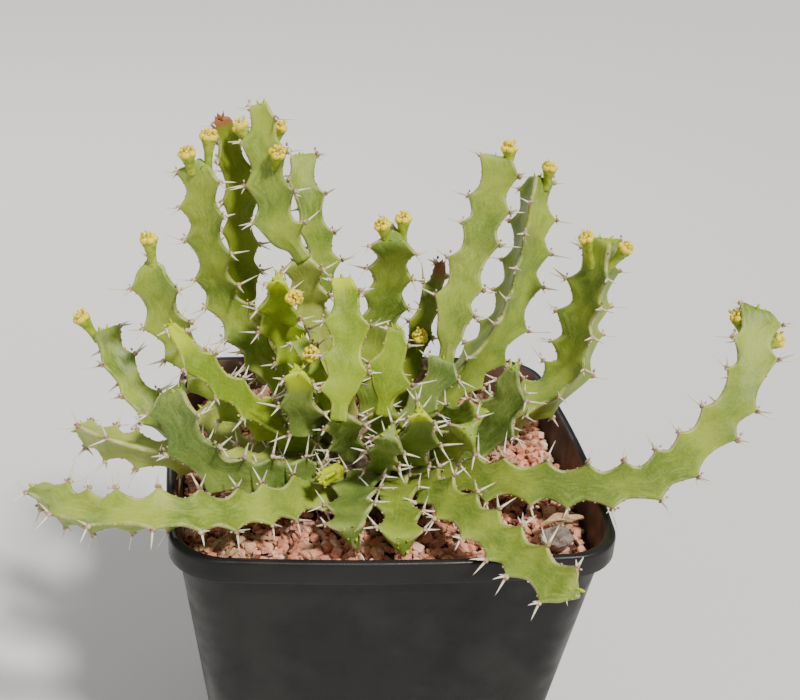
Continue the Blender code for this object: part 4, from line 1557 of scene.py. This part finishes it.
@dataclass
class GritBed:
    """A bed that fills the pot, with loose angular grains of crushed stone all over it."""

    level: float = 99.0 * MM
    inside: float = 60.0 * MM  # half width of the filling at the top
    floor: float = 2.9 * MM
    floor_half: float = 45.3 * MM
    pitch: float = 2.75 * MM
    kinds: int = 12

    def surface(self, x: float, y: float) -> float:
        """Level of the bed: lumpy, and dished at the front left."""
        lumps = noise.noise(Vector((x, y, 0)) / (9 * MM)) + 0.6 * noise.noise(Vector((y, x, 5)) / (4.5 * MM))
        hollow = math.exp(-((x + 26 * MM) ** 2 + (y + 38 * MM) ** 2) / (14 * MM) ** 2)
        return self.level + 0.5 * MM * max(-1, min(1, lumps)) - 2.4 * MM * hollow

    def bed(self) -> bpy.types.Object:
        """The filling: its outline raised from the pot's floor, and its top as rings of lumpy ground.

        Returns:
            The filling.
        """
        shell = Shell(("grain",))
        rings = []
        for half, height in ((self.floor_half - MM, self.floor), (self.floor_half, self.floor + MM)):
            rings.append([shell.point(point + Vector((0, 0, height)), grain=0.1) for point in outline(half)])
        steps = 26
        for step in range(steps):
            ring = []
            for point in outline(self.inside * (1 - step / steps)):
                lift = self.surface(point.x, point.y) - 0.7 * MM
                ring.append(shell.point(Vector((point.x, point.y, lift)), grain=0.1))
            rings.append(ring)
        for lower, upper in zip(rings, rings[1:]):
            shell.bridge(lower, upper)
        shell.fan(rings[0], shell.point(Vector((0, 0, self.floor))), turned=True)
        shell.fan(rings[-1], shell.point(Vector((0, 0, self.surface(0, 0) - 0.7 * MM))))
        return shell.build("grit_bed", [])

    def chips(self, chance: random.Random) -> list[tuple[list[Vector], list[tuple[int, ...]]]]:
        """A few kinds of grain: a block with its edges knocked off and two or three faces split away.

        Args:
            chance: the random draws.

        Returns:
            Each kind's corners and faces.
        """
        kinds = []
        for _ in range(self.kinds):
            deselect()
            bpy.ops.mesh.primitive_cube_add(size=1.55)
            thing = bpy.context.object
            bpy.ops.object.mode_set(mode="EDIT")
            bpy.ops.mesh.select_all(action="SELECT")
            bpy.ops.mesh.bevel(offset=chance.uniform(0.12, 0.28), segments=1)
            for _ in range(4):
                bpy.ops.mesh.select_all(action="SELECT")
                way = Vector([chance.gauss(0, 1) for _ in range(3)]).normalized()
                bpy.ops.mesh.bisect(plane_co=way * chance.uniform(0.58, 0.85), plane_no=way, use_fill=True,
                                    clear_outer=True)
            bpy.ops.mesh.select_all(action="SELECT")
            bpy.ops.mesh.remove_doubles(threshold=0.06)
            bpy.ops.mesh.normals_make_consistent(inside=False)
            bpy.ops.object.mode_set(mode="OBJECT")
            for vertex in thing.data.vertices:
                vertex.co += Vector([chance.uniform(-0.05, 0.05) for _ in range(3)])
            kinds.append(([vertex.co.copy() for vertex in thing.data.vertices],
                          [tuple(face.vertices) for face in thing.data.polygons]))
            bpy.data.objects.remove(thing)
        return kinds

    def is_free(self, x: float, y: float, crown: Vector) -> bool:
        """Whether a grain may lie here: inside the pot and off the crown.

        Args:
            x: its place.
            y: its place.
            crown: the crown's middle.

        Returns:
            True if it may.
        """
        if math.hypot(x - crown.x, y - crown.y) < 8.5 * MM:
            return False
        reach = self.inside - 1.3 * MM
        straight, corner, bow = 0.72 * reach, 0.246 * reach, 0.031 * reach
        across, deep = abs(x), abs(y)
        if across > straight and deep > straight:
            return math.hypot(across - straight, deep - straight) < corner
        return max(across + bow * (y / straight) ** 2, deep + bow * (x / straight) ** 2) < reach

    def add_grains(self, shell: Shell, crown: Vector, chance: random.Random, kinds: list) -> int:
        """Scatters the grains in two layers and returns how many there are.

        Args:
            shell: the mesh being made.
            crown: the crown's middle.
            chance: the random draws.
            kinds: the kinds of grain.

        Returns:
            How many there are.
        """
        count = 0
        layers = ((self.pitch, 1.15, 1.75), (self.pitch * 1.5, 1.25, 2.15))  # pitch, least and largest size
        for layer, (pitch, low, high) in enumerate(layers):
            row = 0
            y = -self.inside
            while y < self.inside:
                x = -self.inside + (pitch / 2 if row % 2 else 0)
                while x < self.inside:
                    px = x + chance.uniform(-0.42, 0.42) * pitch
                    py = y + chance.uniform(-0.42, 0.42) * pitch
                    x += pitch
                    if not self.is_free(px, py, crown) or (layer and chance.random() < 0.25):
                        continue
                    size = chance.uniform(low, high) * MM
                    lift = self.surface(px, py) + (0.15 if layer == 0 else 1.15) * MM
                    lift += chance.uniform(-0.5, 0.4) * MM
                    self.add_grain(shell, chance, kinds, Vector((px, py, lift)), size)
                    count += 1
                y += pitch * 0.87
                row += 1
        return count

    def add_grain(self, shell: Shell, chance: random.Random, kinds: list, where: Vector, size: float) -> None:
        """Adds one grain: one of the kinds, stretched, turned and put in its place.

        Args:
            shell: the mesh being made.
            chance: the random draws.
            kinds: the kinds of grain.
            where: its middle.
            size: its size.
        """
        points, faces = chance.choice(kinds)
        stretch = Matrix.Diagonal((chance.uniform(0.8, 1.35), chance.uniform(0.75, 1.1),
                                   chance.uniform(0.55, 0.85)))
        turn = Matrix.Rotation(chance.uniform(0, math.tau), 3, "Z")
        lean = chance.gauss(0, 0.45)
        tilt = Matrix.Rotation(lean, 3, Vector((chance.uniform(-1, 1), chance.uniform(-1, 1), 0.01)))
        shape = tilt @ turn @ stretch * size
        shade = min(1.0, max(0.0, chance.gauss(0.58, 0.24)))
        start = len(shell.points)
        for point in points:
            shell.point(where + shape @ point, grain=shade)
        for face in faces:
            shell.face(tuple(start + corner for corner in face))

    def build(self, crown: Vector, grain: bpy.types.Material,
              soil: bpy.types.Material) -> list[bpy.types.Object]:
        """Makes the bed and the grains.

        Args:
            crown: the middle of the woody crown, where no grain lies.
            grain: the grains' finish.
            soil: the bed's finish.

        Returns:
            The bed and the grains.
        """
        bed = self.bed()
        bed.data.materials.append(soil)
        shell = Shell(("grain",))
        chance = random.Random(41)
        count = self.add_grains(shell, crown, chance, self.chips(chance))
        LOG.info("grit_grains: %d grains", count)
        grains = shell.build("grit_grains", [grain])
        soften(grains, 28)
        return [bed, grains]


# ------------------------------------------------------------------ pot


def outline(half: float, corner_share: float = 16 / 65, bow_share: float = 2 / 65) -> list[Vector]:
    """A square with round corners and slightly bowed sides.

    Args:
        half: half its width at mid-side.
        corner_share: corner radius as a share of that.
        bow_share: how far the middle of a side stands out past its ends.

    Returns:
        Its points in order, seen from above turning left.
    """
    radius, bow = corner_share * half, bow_share * half
    straight = half - bow - radius
    side_steps, corner_steps = 10, 10
    points = []
    for quarter in range(4):
        turn = Matrix.Rotation(quarter * math.pi / 2, 3, "Z")
        for step in range(side_steps + 1):
            along = -1 + 2 * step / side_steps
            points.append(turn @ Vector((along * straight, -(half - bow * along * along), 0)))
        for step in range(1, corner_steps):
            angle = -math.pi / 2 + step * math.pi / 2 / corner_steps
            centre = Vector((straight, -straight, 0))
            points.append(turn @ (centre + radius * Vector((math.cos(angle), math.sin(angle), 0))))
    return points


@dataclass
class Pot:
    """A thin square nursery pot with a collar, a rolled lip and four drain holes."""

    height: float = 110 * MM
    rim_half: float = 65 * MM
    base_half: float = 47 * MM
    wall: float = 1.4 * MM
    floor: float = 2.6 * MM
    collar: float = 7 * MM
    step: float = 1.6 * MM
    hole: float = 4.5 * MM
    hole_offset: float = 27 * MM

    def half_at(self, height: float) -> float:
        """Half width of the tapered wall."""
        top = self.rim_half - self.step
        return self.base_half + (top - self.base_half) * height / self.height

    def profile(self) -> list[tuple[float, float, float]]:
        """(half width, height, 1 if it is inside) of each ring, from the underside round to the inner floor.

        Returns:
            The rings in order.
        """
        high, low = self.height, self.height - self.collar
        out = self.rim_half
        rows = [
            (self.half_at(0) - 2.2 * MM, 0.0, 0), (self.half_at(0) - 1.0 * MM, 0.0, 0),
            (self.half_at(0) - 0.35 * MM, 0.25 * MM, 0), (self.half_at(0), 0.9 * MM, 0),
            (self.half_at(0.02), 20 * MM, 0), (self.half_at(0.05), 50 * MM, 0),
            (self.half_at(0.08), 80 * MM, 0), (self.half_at(low) - 0.1 * MM, low - 0.5 * MM, 0),
            (self.half_at(low) + 0.3 * MM, low - 0.1 * MM, 0), (out - 0.7 * MM, low, 0),
            (out - 0.2 * MM, low + 0.2 * MM, 0), (out, low + 0.7 * MM, 0),
            (out, low + 3.2 * MM, 0), (out, high - 1.3 * MM, 0), (out - 0.05 * MM, high - 0.7 * MM, 0),
            (out - 0.3 * MM, high - 0.25 * MM, 0), (out - 0.8 * MM, high, 0), (out - 1.7 * MM, high, 0),
            (out - 2.3 * MM, high - 0.3 * MM, 0.2), (out - 2.7 * MM, high - 0.9 * MM, 1),
            (self.half_at(high) - self.wall - 0.1 * MM, high - 3.5 * MM, 1),
            (self.half_at(low) - self.wall, low, 1),
            (self.half_at(0.05) - self.wall, 50 * MM, 1),
            (self.half_at(self.floor) - self.wall, self.floor, 1),
        ]
        return rows

    def build(self, plastic: bpy.types.Material) -> bpy.types.Object:
        """Raises the wall ring by ring, closes the floor and cuts the drain holes.

        Args:
            plastic: its finish.

        Returns:
            The pot.
        """
        shell = Shell(("inside",))
        rings = []
        for half, height, inside in self.profile():
            rings.append([shell.point(point + Vector((0, 0, height)), inside=inside)
                          for point in outline(half)])
        for lower, upper in zip(rings, rings[1:]):
            shell.bridge(lower, upper)
        shell.face(tuple(reversed(rings[0])))
        shell.face(tuple(rings[-1]))
        thing = shell.build("pot_visual", [plastic])
        cutters = []
        for x in (-1, 1):
            for y in (-1, 1):
                deselect()
                bpy.ops.mesh.primitive_cylinder_add(vertices=28, radius=self.hole, depth=self.floor * 4,
                                                    location=(x * self.hole_offset, y * self.hole_offset, 0))
                cutters.append(bpy.context.object)
        cutter = join(cutters, "drain_cutter")
        cut = thing.modifiers.new("holes", "BOOLEAN")
        cut.object = cutter
        cut.solver = "EXACT"
        take(thing)
        bpy.ops.object.modifier_apply(modifier="holes")
        bpy.data.objects.remove(cutter)
        soften(thing, 35)
        return thing


# ------------------------------------------------------------------ loose things


@dataclass
class Pebble:
    """A grey-brown stone lying on the grit."""

    node: str = "stone"

    def build(self, rock: bpy.types.Material) -> bpy.types.Object:
        """Splits a ball with planes and roughens it inside its CAD box.

        Args:
            rock: its finish.

        Returns:
            The stone.
        """
        chance = random.Random(7)
        low, high = (Vector(corner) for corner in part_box(self.node))
        deselect()
        bpy.ops.mesh.primitive_ico_sphere_add(subdivisions=4, radius=1.12)
        thing = bpy.context.object
        bpy.ops.object.mode_set(mode="EDIT")
        for _ in range(9):
            bpy.ops.mesh.select_all(action="SELECT")
            way = Vector([chance.gauss(0, 1) for _ in range(3)]).normalized()
            bpy.ops.mesh.bisect(plane_co=way * chance.uniform(0.74, 0.95), plane_no=way, use_fill=True,
                                clear_outer=True)
        bpy.ops.object.mode_set(mode="OBJECT")
        melt = thing.modifiers.new("melt", "REMESH")
        melt.mode = "VOXEL"
        melt.voxel_size = 0.06
        ease = thing.modifiers.new("ease", "SMOOTH")
        ease.iterations = 1
        take(thing)
        bpy.ops.object.modifier_apply(modifier="melt")
        bpy.ops.object.modifier_apply(modifier="ease")
        half = (high - low) / 2
        for vertex in thing.data.vertices:
            dent = 1 + 0.10 * noise.noise(vertex.co * 2.2) + 0.04 * noise.noise(vertex.co * 7)
            vertex.co = (low + high) / 2 + Vector([vertex.co[k] * half[k] * dent for k in range(3)])
        thing.name = thing.data.name = "stone_visual"
        thing.data.materials.append(rock)
        soften(thing, 50)
        return thing


@dataclass
class DryLeaf:
    """A dead leaf, keeled, curled and torn at one end, lying over the stone."""

    node: str = "dry_leaf"
    thickness: float = 0.28 * MM

    def build(self, litter: bpy.types.Material) -> bpy.types.Object:
        """Shapes a flat grid into the leaf and gives it a thickness.

        Args:
            litter: its finish.

        Returns:
            The leaf.
        """
        low, high = (Vector(corner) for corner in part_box(self.node))
        middle, size = (low + high) / 2, high - low
        deselect()
        bpy.ops.mesh.primitive_grid_add(x_subdivisions=26, y_subdivisions=8, size=2)
        thing = bpy.context.object
        turn = Matrix.Rotation(math.radians(8), 3, "Z")
        for vertex in thing.data.vertices:
            u, v = vertex.co.x, vertex.co.y
            width = (1 - abs(u) ** 2.2) * 0.92 + 0.08
            wave = 0.25 * math.sin(u * 5 + 1) + 0.12 * math.sin(u * 13)
            place = Vector((u * size.x * 0.5, (v * width + wave * 0.35) * size.y * 0.5, 0))
            keel = abs(v) ** 1.3 * 1.1 * MM * width
            lift = (1 - u * u) * 1.1 * MM + 0.35 * MM * math.sin(v * 3 + u * 6) + max(0, u - 0.55) * 3 * MM
            place.z = keel + lift - 0.6 * MM
            vertex.co = middle + turn @ place
        wall = thing.modifiers.new("wall", "SOLIDIFY")
        wall.thickness = self.thickness
        take(thing)
        bpy.ops.object.modifier_apply(modifier="wall")
        thing.name = thing.data.name = "dry_leaf_visual"
        thing.data.materials.append(litter)
        soften(thing, 60)
        return thing


@dataclass
class Litter:
    """Shrivelled husks and bits of dead stem lying on the grit in a few places."""

    heaps: tuple[tuple[float, float, float, int], ...] = (
        (40, 6, 7, 16), (40, 46, 9, 18), (-46, -42, 9, 22), (30, -19, 6, 9), (54, -31, 5, 7),
        (-50, 20, 10, 10),
    )  # x, y and spread in mm, and how many bits

    def add_husk(self, shell: Shell, chance: random.Random, where: Vector) -> None:
        """One curled strip with ragged ends.

        Args:
            shell: the mesh being made.
            chance: the random draws.
            where: its middle.
        """
        long, wide = chance.uniform(2.5, 7.0) * MM, chance.uniform(0.5, 1.5) * MM
        turn = Matrix.Rotation(chance.uniform(0, math.tau), 3, "Z")
        tilt = Matrix.Rotation(chance.gauss(0, 0.3), 3, "X")
        curl, thick = chance.uniform(-1.6, 1.6) * MM, 0.14 * MM
        shade = chance.random()
        rings = []
        for step in range(9):
            u = -1 + step / 4
            half = wide * (1 - 0.75 * u * u) * chance.uniform(0.7, 1.1)
            bend = curl * u * u + 0.3 * MM * math.sin(4 * u + long / MM)
            edge = abs(curl) * 0.25
            corners = ((-half, edge), (0, 0), (half, edge), (half, edge + thick), (0, thick),
                       (-half, edge + thick))
            rings.append([shell.point(where + turn @ (tilt @ Vector((u * long / 2, side, bend + up))),
                                      grain=shade)
                          for side, up in corners])
        for lower, upper in zip(rings, rings[1:]):
            shell.bridge(lower, upper)
        shell.face(tuple(reversed(rings[0])))
        shell.face(tuple(rings[-1]))

    def build(self, bed: GritBed, husk: bpy.types.Material) -> bpy.types.Object:
        """Scatters the husks over the grit.

        Args:
            bed: the grit that they lie on.
            husk: their finish.

        Returns:
            All of them as one piece.
        """
        chance = random.Random(19)
        shell = Shell(("grain",))
        for x, y, spread, count in self.heaps:
            for _ in range(count):
                px = max(-56, min(56, chance.gauss(x, spread / 2))) * MM
                py = max(-55, min(55, chance.gauss(y, spread / 2))) * MM
                lift = bed.surface(px, py) + chance.uniform(1.6, 3.2) * MM
                self.add_husk(shell, chance, Vector((px, py, lift)))
        thing = shell.build("litter", [husk])
        soften(thing, 60)
        return thing


# ------------------------------------------------------------------ studio


@dataclass
class Studio:
    """The floor, the lights and the camera."""

    eye: Vector = field(default_factory=lambda: Vector((-48.6, -352.1, 308.5)) * MM)
    yaw: float = 8.57
    pitch: float = 24.99
    roll: float = 4.15
    lens: float = 58.5

    def floor(self) -> None:
        """A wide plain floor under the pot."""
        deselect()
        bpy.ops.mesh.primitive_grid_add(x_subdivisions=8, y_subdivisions=8, size=12)
        ground = bpy.context.object
        ground.name = ground.data.name = "floor"
        ground.data.materials.append(FloorFinish().material())

    def light(self, name: str, place: Point, size: float, power: float, colour: Colour) -> None:
        """A square soft light aimed at the middle of the plant.

        Args:
            name: its name.
            place: where it stands.
            size: its side.
            power: in watts.
            colour: its colour.
        """
        lamp = bpy.data.lights.new(name, "AREA")
        lamp.shape = "SQUARE"
        lamp.size = size
        lamp.energy = power
        lamp.color = colour
        thing = bpy.data.objects.new(name, lamp)
        thing.location = place
        thing.rotation_euler = (Vector((0, 0, 0.12)) - Vector(place)).to_track_quat("-Z", "Y").to_euler()
        bpy.context.scene.collection.objects.link(thing)

    def sun(self, name: str, way: Point, strength: float, soft: float, colour: Colour) -> None:
        """A wide even light from one side, with soft shadows.

        Args:
            name: its name.
            way: the direction it comes from.
            strength: how strong it is.
            soft: how wide it is in the sky, in degrees.
            colour: its colour.
        """
        lamp = bpy.data.lights.new(name, "SUN")
        lamp.energy = strength
        lamp.angle = math.radians(soft)
        lamp.color = colour
        thing = bpy.data.objects.new(name, lamp)
        thing.rotation_euler = (-Vector(way)).to_track_quat("-Z", "Y").to_euler()
        bpy.context.scene.collection.objects.link(thing)

    def build(self) -> None:
        """Sets everything up."""
        self.floor()
        self.sun("key", (0.36, -0.60, 0.95), 5.0, 8.0, (1.0, 0.985, 0.95))
        self.light("fill", (-0.65, -0.75, 0.6), 0.8, 2.4, (0.98, 0.99, 1.0))
        self.light("rim", (-0.2, 0.7, 0.75), 0.5, 3.0, (1.0, 1.0, 1.0))
        world = bpy.data.worlds.new("studio")
        world.use_nodes = True
        world.node_tree.nodes["Background"].inputs["Color"].default_value = (1, 1, 1, 1)
        world.node_tree.nodes["Background"].inputs["Strength"].default_value = 0.28
        bpy.context.scene.world = world
        lens = bpy.data.cameras.new("camera")
        lens.sensor_width = 36
        lens.lens = self.lens
        camera = bpy.data.objects.new("camera", lens)
        turn = (Matrix.Rotation(-math.radians(self.yaw), 4, "Z")
                @ Matrix.Rotation(math.radians(90 - self.pitch), 4, "X")
                @ Matrix.Rotation(math.radians(self.roll), 4, "Z"))
        camera.matrix_world = Matrix.Translation(self.eye) @ turn
        lens.clip_start, lens.clip_end = 0.02, 50
        bpy.context.scene.collection.objects.link(camera)
        bpy.context.scene.camera = camera


# ------------------------------------------------------------------ all of it


def main() -> None:
    """Builds the plant, the pot and the studio."""
    logging.basicConfig(level=logging.INFO, format="%(message)s")
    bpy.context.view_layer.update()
    effects = Effects()
    skins = {tone: tone.value.material(effects) for tone in Tone}
    cup = PetalFinish("cyathium_cup", (0.22, 0.31, 0.015), (0.42, 0.46, 0.03)).material(effects)
    gland = PetalFinish("cyathium_gland", (0.72, 0.55, 0.012), (0.88, 0.74, 0.03)).material(effects)
    anther = PetalFinish("cyathium_anther", (0.78, 0.60, 0.02), (0.92, 0.80, 0.12)).material(effects)
    patterns = [CyathiumPattern(seed).build(cup, gland, anther) for seed in (3, 8, 14, 27)]
    spine = SpineFinish().material(effects)
    horn = HornFinish().material(effects)
    crown = Crown()
    soil = EarthFinish("soil_dark", (0.030, 0.016, 0.011), (0.13, 0.060, 0.038), 180.0, 1100.0, 0.6 * MM)
    filling = GritBed()
    bed, grains = filling.build(crown.middle, GritFinish().material(effects), soil.material(effects))
    settle(bed, ("grit",))
    settle(grains, ())
    settle(Pot().build(PotFinish().material(effects)), ("pot",))
    stems = [Stem(plan, number) for number, plan in enumerate(STEM_PLANS)]
    for stem in stems:
        settle(stem.build(skins, spine, horn), (stem.plan.name,))
    bark = EarthFinish("bark_grey", (0.085, 0.055, 0.032), (0.30, 0.215, 0.135), 260.0, 1400.0, 0.5 * MM)
    settle(crown.build(stems, bark.material(effects)), ("crown",))
    for number, flower in enumerate(FLOWERS):
        host = bpy.data.objects[flower.host + "_visual"]
        made = flower.build(patterns[number % len(patterns)], host, CyathiumPattern.height)
        settle(made, (flower.name,))
    rock = EarthFinish("rock_brown", (0.105, 0.078, 0.058), (0.30, 0.24, 0.19), 330.0, 1500.0, 0.4 * MM)
    settle(Pebble().build(rock.material(effects)), ("stone",))
    litter = EarthFinish("litter_brown", (0.20, 0.105, 0.045), (0.55, 0.38, 0.20), 300.0, 1800.0,
                         0.15 * MM, 0.75)
    settle(DryLeaf().build(litter.material(effects)), ("dry_leaf",))
    settle(Litter().build(filling, litter.material(effects)), ())
    Studio().build()


if __name__ == "__main__":
    main()
